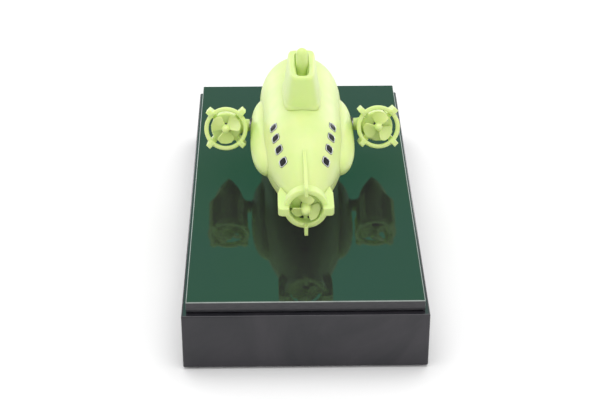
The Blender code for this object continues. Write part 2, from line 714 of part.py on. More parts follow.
def make_nozzle(hull_space):
    """Tail cap, ring and four fins in one moulding."""
    cap_back = NOZZLE_FACE - TAIL_CAP
    spigot_front = NOZZLE_FACE + 2 * TAIL_CAP
    spigot_radius = STERN_RADIUS - HULL_WALL - SEAT_GAP
    motor_seat = STERN_MOTOR_RADIUS + SEAT_GAP
    seal_seat = SEAL_RADIUS + SEAT_GAP
    cap = [
        (seal_seat, cap_back), (STERN_RADIUS - 2 * LIP_SOFTNESS, cap_back),
        (STERN_RADIUS - LIP_SOFTNESS / 2, cap_back + LIP_SOFTNESS), (STERN_RADIUS, NOZZLE_FACE),
        (spigot_radius, NOZZLE_FACE), (spigot_radius, spigot_front), (motor_seat, spigot_front),
        (motor_seat, NOZZLE_FACE), (seal_seat, NOZZLE_FACE),
    ]
    nozzle = turned("stern_nozzle", cap, MEDIUM, along_y(z=AXIS_Z), LIME, ring=True)
    hoop = soft_hoop(NOZZLE_BORE, NOZZLE_RADIUS, NOZZLE_RIM, NOZZLE_RIM + NOZZLE_LENGTH)
    join(nozzle, turned("nozzle_hoop", hoop, FINE, along_y(z=AXIS_Z), ring=True))
    fins = (
        ("starboard_elevator", 0.0, ELEVATOR_THICKNESS, ELEVATOR_FRONT, True),
        ("upper_rudder", 90.0, RUDDER_THICKNESS, RUDDER_FRONT, False),
        ("port_elevator", 180.0, ELEVATOR_THICKNESS, ELEVATOR_FRONT, True),
        ("lower_rudder", 270.0, RUDDER_THICKNESS, KEEL_FRONT, False),
    )
    flat = Matrix(((0, 1, 0, 0), (1, 0, 0, 0), (0, 0, -1, 0), (0, 0, 0, 1)))
    for name, angle, thickness, start, swept in fins:
        turn = Matrix.Translation((0, 0, AXIS_Z)) @ Matrix.Rotation(math.radians(-angle), 4, "Y")
        fin = plate(name, fin_outline(start, swept), thickness, turn @ flat)
        cut(fin, hull_space)
        join(nozzle, fin)


def make_stern_drive():
    place = along_y(z=AXIS_Z)
    low = NOZZLE_FACE + SEAT_GAP
    make_motor("stern_motor", STERN_MOTOR_RADIUS, STERN_MOTOR_LENGTH, low, place, None)
    seal_low = NOZZLE_FACE - TAIL_CAP + OVERLAP
    sleeve("stern_shaft_seal", SHAFT_HOLE, SEAL_RADIUS, seal_low, NOZZLE_FACE - OVERLAP,
           COARSE, place, RUBBER)
    hub_front = NOZZLE_FACE - TAIL_CAP - RUNNING_GAP
    make_propeller("stern_propeller", hub_front, STERN_HUB_RADIUS, STERN_HUB_LENGTH,
                   STERN_PROP_RADIUS, hub_front - 2.4 * MM, STERN_BLADE_ANGLES, place, None)
    rod("stern_shaft", SHAFT_RADIUS, hub_front - SHAFT_IN_HUB, low + SHAFT_IN_MOTOR - SEAT_GAP,
        COARSE, place, STEEL)


# ----------------------------------------------------- motors and propellers
def make_motor(name, radius, length, low, place, parent):
    """A can motor with a blind hole at its after end for the shaft."""
    rounding = 0.6 * MM
    outline = [(0, low + length), (radius - rounding, low + length),
               (radius, low + length - rounding), (radius, low + rounding),
               (radius - rounding, low), (SHAFT_HOLE, low), (SHAFT_HOLE, low + SHAFT_IN_MOTOR),
               (0, low + SHAFT_IN_MOTOR)]
    turned(name, outline, MEDIUM, place, STEEL, parent)


def blade_swell(out):
    """Width of a blade over its greatest width, from root (0) to tip (1)."""
    fullest = 0.7
    if out < fullest:
        return 0.45 + 0.55 * math.sin(out / fullest * math.pi / 2)
    return 1 - 0.42 * ((out - fullest) / (1 - fullest)) ** 2


def make_blade(name, root, tip, station, angle, place, parent):
    """One fan-shaped blade, a grid bent to a rounded outline and given a twist."""
    shape = bmesh.new()
    bmesh.ops.create_grid(shape, x_segments=4, y_segments=5, size=0.5)
    for corner in shape.verts:
        across = corner.co.x * 2
        out = corner.co.y + 0.5
        radius = root + (tip - root) * out
        offset = across * BLADE_WIDTH * tip * blade_swell(out)
        pitch = math.radians(BLADE_ROOT_PITCH + (BLADE_TIP_PITCH - BLADE_ROOT_PITCH) * out)
        sideways = offset * math.cos(pitch)
        reach = math.sqrt(max(radius ** 2 - (sideways * out) ** 2, 0.0))
        corner.co = Vector((reach, sideways, -offset * math.sin(pitch)))
    mesh = bpy.data.meshes.new(name)
    shape.to_mesh(mesh)
    shape.free()
    turn = Matrix.Translation((0, 0, station)) @ Matrix.Rotation(angle, 4, "Z")
    blade = add_object(name, mesh, None, place @ turn, parent)
    skin = blade.modifiers.new("blade_thickness", "SOLIDIFY")
    skin.thickness = BLADE_THICKNESS
    skin.offset = 0.0
    return blade


def make_propeller(name, front, hub_radius, hub_length, tip, station, angles, place, parent):
    """Hub with a domed after end and three blades; angles are seen from astern."""
    back = front - hub_length
    dome = [(r, 2 * back - h) for r, h in half_ball(hub_radius, back)]
    bore = SHAFT_RADIUS + SEAT_GAP
    bore_end = front - SHAFT_IN_HUB - SEAT_GAP
    soft = LIP_SOFTNESS / 2
    outline = [(0.0, bore_end), (bore, bore_end), (bore, front), (hub_radius - soft, front),
               (hub_radius, front - soft)] + dome[::-1]
    propeller = turned(name, outline, MEDIUM, place, LIME, parent)
    for i, angle in enumerate(angles):
        blade = make_blade(f"{name}_blade_{i + 1}", hub_radius * 0.8, tip, station,
                           -math.radians(angle), place, parent)
        join(propeller, blade)


# ------------------------------------------------------------------- side pods
def pod_nose_outline():
    """Outside of the nose cone from its tip to the shoulder."""
    steps = 7
    points = []
    for i in range(steps + 1):
        share = 1 - i / steps
        radius = POD_RADIUS * (1 - share ** POD_POINT)
        points.append((radius if i else 0.0, POD_SHOULDER + (POD_NOSE - POD_SHOULDER) * share))
    return points


def make_pod(side_name, side, tilt, blade_angles):
    """A motor pod; its local origin is on the tilt axis, local +Y is forward."""
    x = side * POD_OFFSET
    centre = along_y(x)
    inner_radius = POD_RADIUS - POD_WALL
    housing_back = POD_TAIL + POD_CAP + SEAT_GAP
    housing = sleeve(side_name + "_pod_housing", inner_radius, POD_RADIUS, housing_back,
                     POD_SHOULDER, MEDIUM, centre, LIME, tilt)
    strut_near = TANK_OUTER + RUNNING_GAP
    strut_far = POD_OFFSET - inner_radius - POD_WALL / 2
    flare = [(0, strut_far), (STRUT_RADIUS + STRUT_FLARE, strut_far),
             (STRUT_RADIUS + STRUT_FLARE / 3, strut_far - STRUT_RADIUS / 2),
             (STRUT_RADIUS, strut_far - STRUT_RADIUS), (STRUT_RADIUS, strut_near),
             (0, strut_near)]
    outwards = along_x() if side > 0 else Matrix.Rotation(math.pi, 4, "Z") @ along_x()
    join(housing, turned(side_name + "_strut", flare, MEDIUM, outwards, None, tilt))
    cut(housing, rod(side_name + "_strut_bore", TUBE_RADIUS + SEAT_GAP, strut_near - MM,
                     POD_OFFSET - inner_radius + MM, COARSE, outwards, None, tilt))

    spigot = inner_radius - SEAT_GAP
    nose_back = POD_SHOULDER + SEAT_GAP
    nose = [(r, max(h, nose_back)) for r, h in pod_nose_outline()]
    spigot_back = POD_SHOULDER - POD_SPIGOT
    nose += [(spigot, nose_back), (spigot, spigot_back), (0, spigot_back)]
    turned(side_name + "_pod_nose", nose, MEDIUM, centre, LIME, tilt)

    make_guard(side_name, spigot, centre, tilt)
    motor_back = POD_TAIL + POD_CAP + SEAT_GAP
    make_motor(side_name + "_pod_motor", POD_MOTOR_RADIUS, POD_MOTOR_LENGTH, motor_back, centre,
               tilt)
    sleeve(side_name + "_pod_seal", SHAFT_HOLE, SEAL_RADIUS, POD_TAIL + OVERLAP,
           POD_TAIL + POD_CAP - OVERLAP, COARSE, centre, RUBBER, tilt)
    hub_front = GUARD_PLACE + POD_HUB_LENGTH / 2 - POD_CAP / 4
    make_propeller(side_name + "_propeller", hub_front, POD_HUB_RADIUS, POD_HUB_LENGTH,
                   POD_PROP_RADIUS, GUARD_PLACE, blade_angles, centre, tilt)
    rod(side_name + "_shaft", SHAFT_RADIUS, hub_front - SHAFT_IN_HUB,
        motor_back + SHAFT_IN_MOTOR - SEAT_GAP, COARSE, centre, STEEL, tilt)


def make_guard(side_name, spigot, centre, tilt):
    """Rear cap of the pod, with four fins that carry the propeller's ring."""
    cap_front = POD_TAIL + POD_CAP
    spigot_front = cap_front + 1.5 * POD_CAP
    motor_seat = POD_MOTOR_RADIUS + SEAT_GAP
    seal_seat = SEAL_RADIUS + SEAT_GAP
    cap = [(seal_seat, POD_TAIL), (POD_RADIUS - LIP_SOFTNESS, POD_TAIL),
           (POD_RADIUS, POD_TAIL + LIP_SOFTNESS), (POD_RADIUS, cap_front), (spigot, cap_front),
           (spigot, spigot_front), (motor_seat, spigot_front), (motor_seat, cap_front),
           (seal_seat, cap_front)]
    guard = turned(side_name + "_pod_guard", cap, MEDIUM, centre, LIME, tilt, ring=True)
    ring_back = GUARD_PLACE - GUARD_DEPTH / 2
    ring_front = GUARD_PLACE + GUARD_DEPTH / 2
    hoop = soft_hoop(GUARD_BORE, GUARD_RADIUS, ring_back, ring_front)
    join(guard, turned(side_name + "_hoop", hoop, FINE, centre, None, tilt, ring=True))
    clear = POD_RADIUS + SEAT_GAP
    middle = (GUARD_BORE + GUARD_RADIUS) / 2
    buried = POD_RADIUS - POD_CAP / 2
    trail = ring_back - FIN_TRAIL
    fin = [(trail, middle), (trail, FIN_REACH), (FIN_SHOULDER, FIN_REACH),
           (FIN_FRONT, clear + 2 * OVERLAP), (FIN_FRONT, clear), (cap_front, clear),
           (cap_front, buried), (POD_TAIL + LIP_SOFTNESS, buried),
           (POD_TAIL + LIP_SOFTNESS, POD_RADIUS), (ring_front - OVERLAP, middle)]
    flat = Matrix(((0, 0, 1, 0), (1, 0, 0, 0), (0, 1, 0, 0), (0, 0, 0, 1)))
    for i in range(4):
        around = Matrix.Rotation(math.radians(45 + 90 * i), 4, "Y")
        place = Matrix.Translation((centre.translation.x, 0, 0)) @ around @ flat
        join(guard, plate(f"{side_name}_fin_{i + 1}", fin, FIN_THICKNESS, place, None, tilt))


def make_tilting_pods():
    tilt = bpy.data.objects.new("pod_tilt_axis", None)
    PARTS.objects.link(tilt)
    tilt.location = (0, PIVOT_Y, AXIS_Z)
    tilt.rotation_euler = (math.radians(POD_PITCH), 0, 0)
    half = POD_OFFSET - POD_RADIUS + POD_WALL - 2 * OVERLAP
    sleeve("pod_cross_tube", TUBE_BORE, TUBE_RADIUS, -half, half, MEDIUM, along_x(), STEEL, tilt)
    make_pod("port", -1, tilt, PORT_BLADE_ANGLES)
    make_pod("starboard", 1, tilt, STARBOARD_BLADE_ANGLES)


def make_pivot_bushes():
    inner = HULL_RADIUS - HULL_WALL - 2 * SEAT_GAP
    for side_name, side in (("port", -1), ("starboard", 1)):
        low, high = sorted((side * inner, side * TANK_OUTER))
        sleeve(side_name + "_pivot_bush", BUSH_BORE, BUSH_RADIUS, low, high, MEDIUM,
               along_x(0, PIVOT_Y, AXIS_Z), BLACK_PLASTIC)


# ------------------------------------------------------------------- internals
def make_chassis():
    """Tray shaped to the bilge, with four posts that carry the circuit board."""
    top = AXIS_Z + CHASSIS_TOP
    length = CHASSIS_FORE - CHASSIS_AFT
    depth = HULL_RADIUS + CHASSIS_TOP
    size = (CHASSIS_WIDTH, length, depth)
    centre = (0, (CHASSIS_FORE + CHASSIS_AFT) / 2, top - depth / 2)
    chassis = block("inner_chassis", size, centre, BLACK_PLASTIC)
    combine(chassis, make_hull_space("bilge_space", -HULL_WALL - SEAT_GAP), "INTERSECT")
    post_top = AXIS_Z + BOARD_HEIGHT - SEAT_GAP
    for i, (x, y) in enumerate(((-1, -16), (1, -16), (-1, 24), (1, 24))):
        place = Matrix.Translation((x * POST_SPREAD, y * MM, 0))
        join(chassis, rod(f"board_post_{i + 1}", POST_RADIUS, top - OVERLAP, post_top, COARSE,
                          place))


def make_electrics():
    floor = AXIS_Z + CHASSIS_TOP + SEAT_GAP
    block("battery", BATTERY_SIZE, (0, -4 * MM, floor + BATTERY_SIZE.z / 2), FOIL, edge=0.8 * MM)
    block("ballast_weight", BALLAST_SIZE, (0, 27 * MM, floor + BALLAST_SIZE.z / 2), STEEL,
          edge=0.6 * MM)
    block("circuit_board", BOARD_SIZE,
          (0, 3 * MM, AXIS_Z + BOARD_HEIGHT + BOARD_SIZE.z / 2), BOARD_GREEN)
    low = AXIS_Z - hull_radius(SOCKET_PLACE) - SOCKET_PROUD
    high = low + SOCKET_LENGTH
    floor_height = high - SOCKET_FLOOR
    outline = [(0, high), (SOCKET_RADIUS, high), (SOCKET_RADIUS, low), (SOCKET_PIN, low),
               (SOCKET_PIN, floor_height), (0, floor_height)]
    turned("charging_socket", outline, COARSE, Matrix.Translation((0, SOCKET_PLACE, 0)), BRASS)


# -------------------------------------------------------------------- assembly
def build_submarine():
    """Everything on the submarine, hung on one empty that sets it on the base."""
    hull_space = make_hull_space("hull_space", SEAT_GAP)
    pivot_hole = rod("pivot_hole", BUSH_RADIUS + SEAT_GAP, -CUT / 4, CUT / 4, MEDIUM,
                     along_x(0, PIVOT_Y, AXIS_Z))
    make_hull_half("upper_hull", True, pivot_hole, make_window_holes())
    make_hull_half("lower_hull", False, pivot_hole, [])
    make_hull_screws()
    make_saddle_tank("port_saddle_tank", -1, hull_space, pivot_hole)
    make_saddle_tank("starboard_saddle_tank", 1, hull_space, pivot_hole)
    make_windows()
    make_tower(hull_space)
    make_nozzle(hull_space)
    make_stern_drive()
    make_chassis()
    make_electrics()
    make_pivot_bushes()
    make_tilting_pods()
    frame = bpy.data.objects.new("submarine_frame", None)
    PARTS.objects.link(frame)
    frame.location = (SET_DOWN_SHIFT, 0, 0)
    frame.rotation_euler = (0, 0, math.radians(SET_DOWN_TURN))
    for item in bpy.data.objects:
        if item.parent is None and item != frame:
            item.parent = frame
    return hull_space


def build_base(hull_space):
    make_base_shell()
    make_platform()
    make_base_cover()
    make_cradle(hull_space)


build_base(build_submarine())
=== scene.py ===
import json
import math

import bmesh
import bpy
from mathutils import Matrix, Vector


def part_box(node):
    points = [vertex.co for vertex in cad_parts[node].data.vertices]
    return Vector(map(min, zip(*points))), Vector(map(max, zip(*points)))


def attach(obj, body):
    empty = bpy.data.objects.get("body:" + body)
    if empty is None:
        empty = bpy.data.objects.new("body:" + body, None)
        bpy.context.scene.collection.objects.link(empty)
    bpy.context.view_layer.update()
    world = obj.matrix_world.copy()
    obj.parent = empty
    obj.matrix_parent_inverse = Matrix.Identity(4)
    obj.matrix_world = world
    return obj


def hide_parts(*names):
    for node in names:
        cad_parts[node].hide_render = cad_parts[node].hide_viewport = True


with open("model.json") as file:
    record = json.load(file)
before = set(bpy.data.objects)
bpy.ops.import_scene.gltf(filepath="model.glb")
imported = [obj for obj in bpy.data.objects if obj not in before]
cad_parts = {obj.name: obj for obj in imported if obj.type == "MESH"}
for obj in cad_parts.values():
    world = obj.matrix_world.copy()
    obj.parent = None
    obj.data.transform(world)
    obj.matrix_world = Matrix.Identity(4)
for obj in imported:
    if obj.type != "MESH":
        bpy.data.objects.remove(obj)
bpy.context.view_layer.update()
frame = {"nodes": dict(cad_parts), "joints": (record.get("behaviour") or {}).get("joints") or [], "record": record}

MM = 0.001

# --------------------------------------------------------- the boat's own axes
JOINTS = {joint["name"]: joint for joint in frame["joints"]}


def joint_line(name):
    return Vector(JOINTS[name]["pos_m"]), Vector(JOINTS[name]["axis"])


STERN_POINT, FORWARD = joint_line("stern_propeller_spin")
HEADING = math.atan2(-FORWARD.x, FORWARD.y)
BOAT = (Matrix.Translation(STERN_POINT - FORWARD * (STERN_POINT.y / FORWARD.y))
        @ Matrix.Rotation(HEADING, 4, "Z"))
TILT_POINT, _ = joint_line("pods_tilt")
_, POD_FORWARD = joint_line("port_propeller_spin")
PODS = (Matrix.Translation(TILT_POINT) @ Matrix.Rotation(HEADING, 4, "Z")
        @ Matrix.Rotation(math.asin(POD_FORWARD.z), 4, "X"))


def span(node, place=Matrix.Identity(4)):
    """Lowest and highest corner of a CAD node, measured in a turned frame."""
    inverse = place.inverted()
    points = [inverse @ vertex.co for vertex in frame["nodes"][node].data.vertices]
    low = Vector(min(point[i] for point in points) for i in range(3))
    high = Vector(max(point[i] for point in points) for i in range(3))
    return low, high


# ------------------------------------------------------------------ hull sizes
HULL_LOW, HULL_HIGH = span("upper_hull", BOAT)
HULL_RADIUS = HULL_HIGH.z
NOSE_TIP = HULL_HIGH.y
STERN_END = HULL_LOW.y
HULL_WALL = 1.6 * MM
HULL_STEPS = 40
NOSE_START = 30.0 * MM
NOSE_FULLNESS = 3.4
TAIL_START = -8.0 * MM
TAIL_FULLNESS = 1.7
STERN_RADIUS = 6.4 * MM
SEAM = 0.3 * MM
POCKET_DEPTH = 3.4 * MM
POCKET_HEIGHT = 6.0 * MM

TANK_LOW, TANK_HIGH = span("starboard_saddle_tank", BOAT)
TANK_RADIUS = TANK_HIGH.z
TANK_CENTRE = (TANK_LOW.y + TANK_HIGH.y) / 2
TANK_HALF_LENGTH = (TANK_HIGH.y - TANK_LOW.y) / 2
TANK_FULLNESS = 3
TANK_STEPS = 48
TANK_LAP = 0.05 * MM

# ----------------------------------------------------------------- tower sizes
TOWER_LOW, TOWER_HIGH = span("conning_tower", BOAT)
TOWER_RIM = TOWER_HIGH.z
TOWER_RIM_HALF = 6.2 * MM
TOWER_RIM_WALL = 2.9 * MM
TOWER_RAKE = 1.0 * MM
TOWER_LIP = 0.9 * MM
TOWER_EAR_RISE = 1.6 * MM
TOWER_EAR_CURVE = 0.7
TOWER_EAR_FLARE = 0.05
TOWER_ROOT = 4.0 * MM
TOWER_SKIRT = 0.5 * MM
TOWER_TAPER = 0.10
TOWER_BLUNTNESS_FORE = 7.0
TOWER_BLUNTNESS_AFT = 4.5
TOWER_GAP = 0.02 * MM
WELL_DEPTH = 5.2 * MM
WELL_DRAFT = 0.3 * MM
PERISCOPE_LOW, PERISCOPE_HIGH = span("periscope", BOAT)
COLUMN_SHARE = 0.86

# --------------------------------------------------------------- window sizes
WINDOW_LENGTH = 4.9 * MM
WINDOW_HEIGHT = 4.1 * MM
WINDOW_CORNER = 1.35 * MM
WINDOW_CORNER_SHRINK = 0.8
WINDOW_FRAME = 0.34 * MM
WINDOW_ROOT = -0.8 * MM
TRIM_RISE = 0.26 * MM
TRIM_SOFTNESS = 0.12 * MM
GASKET_OUTSIDE = -0.16 * MM
GASKET_INSIDE = 0.12 * MM
GASKET_RISE = 0.10 * MM
PANE_LAP = 0.1 * MM
WINDOW_FIRST = -14.7 * MM
WINDOW_PITCH = 8.5 * MM
WINDOW_COUNT = 4
WINDOW_TILT = math.radians(45.3)

# ---------------------------------------------------------------- nozzle sizes
NOZZLE_LOW, NOZZLE_HIGH = span("stern_nozzle", BOAT)
FIN_SPAN = NOZZLE_HIGH.x
FIN_BACK = NOZZLE_LOW.y
NOZZLE_RADIUS = 9.66 * MM
NOZZLE_BORE = 7.2 * MM
NOZZLE_RIM = FIN_BACK + 2.7 * MM
NOZZLE_LENGTH = 5.2 * MM
NOZZLE_LIP = 0.7 * MM
FIN_CORNER = 0.9 * MM
FIN_ROOT = 2.0 * MM
FIN_LAP = 0.2 * MM
NOZZLE_GAP = 0.03 * MM
RUDDER_THICKNESS = 1.6 * MM
RUDDER_FRONT = -38.0 * MM
KEEL_FRONT = -52.5 * MM
ELEVATOR_THICKNESS = 3.7 * MM
ELEVATOR_FRONT = -48.5 * MM
ELEVATOR_SWEEP = 5.5 * MM
ELEVATOR_CORNER = 1.8 * MM
CAP_BACK = STERN_END - 2.0 * MM
SHAFT_HOLE = 2.3 * MM

# ------------------------------------------------------------------- pod sizes
POD_LOW, POD_HIGH = span("starboard_pod_housing", PODS)
POD_RADIUS = POD_HIGH.z
POD_OFFSET = POD_HIGH.x - POD_RADIUS
POD_SHOULDER = POD_HIGH.y
POD_NOSE = span("starboard_pod_nose", PODS)[1].y
POD_POINT = 1.6
POD_SPIGOT = 1.2 * MM
POD_SPIGOT_STEP = 1.6 * MM
POD_JOIN = 0.1 * MM
POD_TAIL = -12.6 * MM
POD_CAP = 1.6 * MM
POD_WALL = 1.4 * MM
STRUT_NEAR = POD_LOW.x
STRUT_RADIUS = 2.9 * MM
STRUT_FLARE = 1.6 * MM
STRUT_SINK = 0.7 * MM
GUARD_PLACE = -16.5 * MM
GUARD_RADIUS = 10.1 * MM
GUARD_BORE = 8.14 * MM
GUARD_DEPTH = 2.6 * MM
GUARD_LIP = 0.6 * MM
GUARD_FIN_REACH = 12.0 * MM
GUARD_FIN_THICKNESS = 2.5 * MM
GUARD_FIN_SHOULDER = -3.0 * MM
GUARD_FIN_FRONT = span("starboard_pod_guard", PODS)[1].y
GUARD_FIN_CORNER = 0.4 * MM

# -------------------------------------------------------------- propeller sizes
BLADE_COUNT = 3
BLADE_WIDTH = 0.62
BLADE_ROOT_PITCH = 40.0
BLADE_TWIST = 16.0
BLADE_CAMBER = 0.04
BLADE_THICKNESS = 0.62 * MM
BLADE_FULLEST = 0.7
STERN_HUB_RADIUS = 2.2 * MM
STERN_HUB_LENGTH = 6.9 * MM
STERN_BLADES_BACK = 2.4 * MM
POD_HUB_RADIUS = 1.9 * MM
POD_HUB_LENGTH = 5.6 * MM

# ------------------------------------------------------------------ base sizes
SHELL_LOW, SHELL_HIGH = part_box("base_shell")
PLATE_LOW, PLATE_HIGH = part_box("platform_plate")
BASE_WALL = 2.5 * MM
BASE_EDGE = 0.7 * MM
PLATE_EDGE = 0.35 * MM
EDGE_STEPS = 4
SLOT_DEPTH = 0.7 * MM
FOOT_GROOVES = (0.75, 0.5)
GROOVE_DEPTH = 0.3 * MM
GROOVE_MOUTH = 0.25 * MM
GROOVE_FLOOR = 0.12 * MM

# ------------------------------------ voxels, facets and creases of the pieces
FINE_GRAIN = 0.16 * MM
MEDIUM_GRAIN = 0.20 * MM
WELD = 0.002 * MM
HULL_FACETS = 144
POD_FACETS = 96
ROD_FACETS = 64
HUB_FACETS = 48
SCREW_FACETS = 32
SHELL_CREASE = 40.0
BELLY_CREASE = 32.0
SMALL_CREASE = 30.0
MOULDED_CREASE = 60.0
FLAT = 0.9999

# ---------------------------------------------------------------- camera and stage
LENS = 94.95
SENSOR = 36.0
CAMERA_PLACE = (-0.011535, -0.65835, 0.40071)
CAMERA_AHEAD = (0.01424, 0.86650, -0.49897)
SKY_STRENGTH = 0.82
FLOOR_HALF_WIDTH = 3.0
FLOOR_DROP = 0.2 * MM
LIGHTS_AIM = (0.0, 0.0, 0.05)


def linked(name, data):
    """A new object in the scene, on its own mesh, lamp or camera."""
    item = bpy.data.objects.new(name, data)
    bpy.context.scene.collection.objects.link(item)
    return item


# ============================================================ finishes
def add_node(tree, kind, sources=None, **settings):
    """A node with its inputs linked, or set where a plain value is given."""
    node = tree.nodes.new(kind)
    for field, value in settings.items():
        setattr(node, field, value)
    for socket, source in (sources or {}).items():
        if isinstance(source, bpy.types.NodeSocket):
            tree.links.new(source, node.inputs[socket])
        else:
            node.inputs[socket].default_value = source
    return node


def finish(name, colour, roughness, metallic=0.0, **constants):
    """A Principled material with its constants set on the shader's own sockets."""
    material = bpy.data.materials.new(name)
    material.use_nodes = True
    shader = material.node_tree.nodes["Principled BSDF"]
    shader.inputs["Base Color"].default_value = (*colour, 1.0)
    shader.inputs["Roughness"].default_value = roughness
    shader.inputs["Metallic"].default_value = metallic
    for socket, value in constants.items():
        shader.inputs[socket.replace("_", " ")].default_value = value
    return material


def paint_node(material, kind, sources=None, **settings):
    return add_node(material.node_tree, kind, sources, **settings)


def object_points(material, stretch=(1.0, 1.0, 1.0)):
    place = paint_node(material, "ShaderNodeTexCoord").outputs["Object"]
    mapping = paint_node(material, "ShaderNodeMapping", {"Vector": place, "Scale": stretch})
    return mapping.outputs["Vector"]


def cloud(material, scale, detail=3.0, stretch=(1.0, 1.0, 1.0), distortion=0.0):
    """Soft noise; scale is in waves per metre."""
    return paint_node(material, "ShaderNodeTexNoise", {
        "Vector": object_points(material, stretch), "Scale": scale, "Detail": detail,
        "Distortion": distortion}).outputs["Fac"]


def remap(material, value, low_in, high_in, low_out, high_out):
    return paint_node(material, "ShaderNodeMapRange", {
        "Value": value, "From Min": low_in, "From Max": high_in,
        "To Min": low_out, "To Max": high_out}).outputs["Result"]


def two_tone(material, factor, first, second):
    mix = paint_node(material, "ShaderNodeMix", data_type="RGBA")
    material.node_tree.links.new(factor, mix.inputs["Factor"])
    mix.inputs["A"].default_value = (*first, 1.0)
    mix.inputs["B"].default_value = (*second, 1.0)
    return mix.outputs["Result"]


def feed(material, socket, source):
    shader = material.node_tree.nodes["Principled BSDF"]
    material.node_tree.links.new(source, shader.inputs[socket])


def mottle(material, pattern, first, second, low=0.35, high=0.65):
    """Base colour that wanders between two shades."""
    feed(material, "Base Color", two_tone(
        material, remap(material, pattern, low, high, 0.0, 1.0), first, second))


def vary_gloss(material, pattern, smoothest, roughest):
    feed(material, "Roughness", remap(material, pattern, 0.3, 0.7, smoothest, roughest))


def emboss(material, height, depth, strength=0.5):
    """Bump; depth is the height of the relief in metres."""
    bump = paint_node(material, "ShaderNodeBump", {
        "Height": height, "Distance": depth, "Strength": strength})
    feed(material, "Normal", bump.outputs["Normal"])


def lime_plastic():
    """Slightly translucent moulded plastic: yellow where light gathers, greener in depth."""
    yellow_lime = (0.70, 0.82, 0.32)
    green_lime = (0.65, 0.81, 0.29)
    material = finish("lime_plastic", yellow_lime, 0.36, Subsurface_Weight=0.35,
                      Subsurface_Scale=0.003, Specular_IOR_Level=0.45)
    shader = material.node_tree.nodes["Principled BSDF"]
    shader.inputs["Subsurface Radius"].default_value = (0.8, 1.0, 0.25)
    mottle(material, cloud(material, 70.0), yellow_lime, green_lime)
    vary_gloss(material, cloud(material, 420.0, 4.0), 0.30, 0.42)
    emboss(material, cloud(material, 1500.0, 2.0), 0.00002)
    return material


def black_lacquer():
    """Polished black with the faint swirls that a cloth leaves."""
    material = finish("black_lacquer", (0.020, 0.019, 0.023), 0.16, Specular_IOR_Level=0.5)
    swirl = cloud(material, 16.0, 5.0, (1.0, 0.35, 1.0), 2.2)
    mottle(material, swirl, (0.014, 0.014, 0.018), (0.030, 0.027, 0.033), 0.35, 0.7)
    vary_gloss(material, swirl, 0.13, 0.24)
    emboss(material, cloud(material, 900.0, 2.0), 0.000004, 0.3)
    return material


def green_mirror():
    """Dark green sheet polished like glass; it mirrors what stands on it."""
    deep_green = (0.042, 0.080, 0.055)
    blue_green = (0.042, 0.077, 0.062)
    grazing = 0.57
    material = finish("green_mirror", deep_green, 0.02, 1.0,
                      Specular_Tint=(grazing, grazing, grazing, 1.0), Sheen_Weight=0.13,
                      Sheen_Roughness=0.6)
    mottle(material, cloud(material, 14.0, 2.0), deep_green, blue_green)
    vary_gloss(material, cloud(material, 50.0, 4.0), 0.02, 0.05)
    return material


def polished_edge():
    """Edge band of the platform, cut and buffed a shade lighter than its face."""
    material = finish("polished_edge", (0.030, 0.030, 0.034), 0.20)
    saw = cloud(material, 260.0, 3.0, (1.0, 1.0, 6.0))
    mottle(material, saw, (0.026, 0.026, 0.030), (0.038, 0.037, 0.041))
    vary_gloss(material, saw, 0.16, 0.26)
    return material


def arris_highlight_paint():
    """The rounded top arris of the platform, painted pale as a painted highlight where the light catches it."""
    # the pale grey-green is a painted highlight, not the dark sheet's own colour
    material = finish("arris_highlight_paint", (0.30, 0.33, 0.31), 0.22)
    mottle(material, cloud(material, 120.0), (0.24, 0.27, 0.25), (0.34, 0.37, 0.35))
    return material


def grained_black(name, colour, roughness, grain):
    """Moulded black plastic or rubber with a spark-eroded grain."""
    material = finish(name, colour, roughness)
    paler = tuple(channel * 1.5 for channel in colour)
    mottle(material, cloud(material, 90.0), colour, paler)
    cells = paint_node(material, "ShaderNodeTexVoronoi", {
        "Vector": object_points(material), "Scale": grain}).outputs["Distance"]
    emboss(material, cells, 0.00006, 0.6)
    return material


def drawn_metal(name, colour, dark, roughness):
    """Turned or drawn metal with fine lines along one way."""
    material = finish(name, colour, roughness, 1.0)
    lines = cloud(material, 300.0, 4.0, (1.0, 1.0, 14.0))
    mottle(material, lines, dark, colour)
    vary_gloss(material, lines, roughness * 0.8, roughness * 1.25)
    emboss(material, lines, 0.00001, 0.4)
    return material


def dark_pane():
    """Tinted glass with nothing lit behind it."""
    material = finish("dark_pane", (0.006, 0.007, 0.009), 0.14, Specular_IOR_Level=0.22)
    mottle(material, cloud(material, 350.0), (0.005, 0.006, 0.008), (0.014, 0.016, 0.019),
           0.4, 0.7)
    return material


def battery_foil():
    """Crinkled silver wrapper."""
    material = finish("battery_foil", (0.62, 0.64, 0.66), 0.35, 0.8)
    creases = paint_node(material, "ShaderNodeTexVoronoi", {
        "Vector": object_points(material), "Scale": 260.0},
        feature="DISTANCE_TO_EDGE").outputs["Distance"]
    mottle(material, creases, (0.45, 0.47, 0.50), (0.66, 0.68, 0.70), 0.0, 0.12)
    emboss(material, creases, 0.0002, 0.5)
    return material


def board_laminate():
    """Green board with copper tracks showing through the lacquer."""
    material = finish("board_laminate", (0.02, 0.18, 0.08), 0.30)
    tracks = paint_node(material, "ShaderNodeTexWave", {
        "Vector": object_points(material), "Scale": 240.0, "Distortion": 6.0,
        "Detail": 1.0}).outputs["Fac"]
    mottle(material, tracks, (0.015, 0.14, 0.06), (0.10, 0.34, 0.12), 0.80, 0.88)
    return material


def studio_paper():
    material = finish("studio_paper", (0.97, 0.97, 0.97), 0.9, Specular_IOR_Level=0.1)
    vary_gloss(material, cloud(material, 30.0), 0.85, 0.95)
    return material


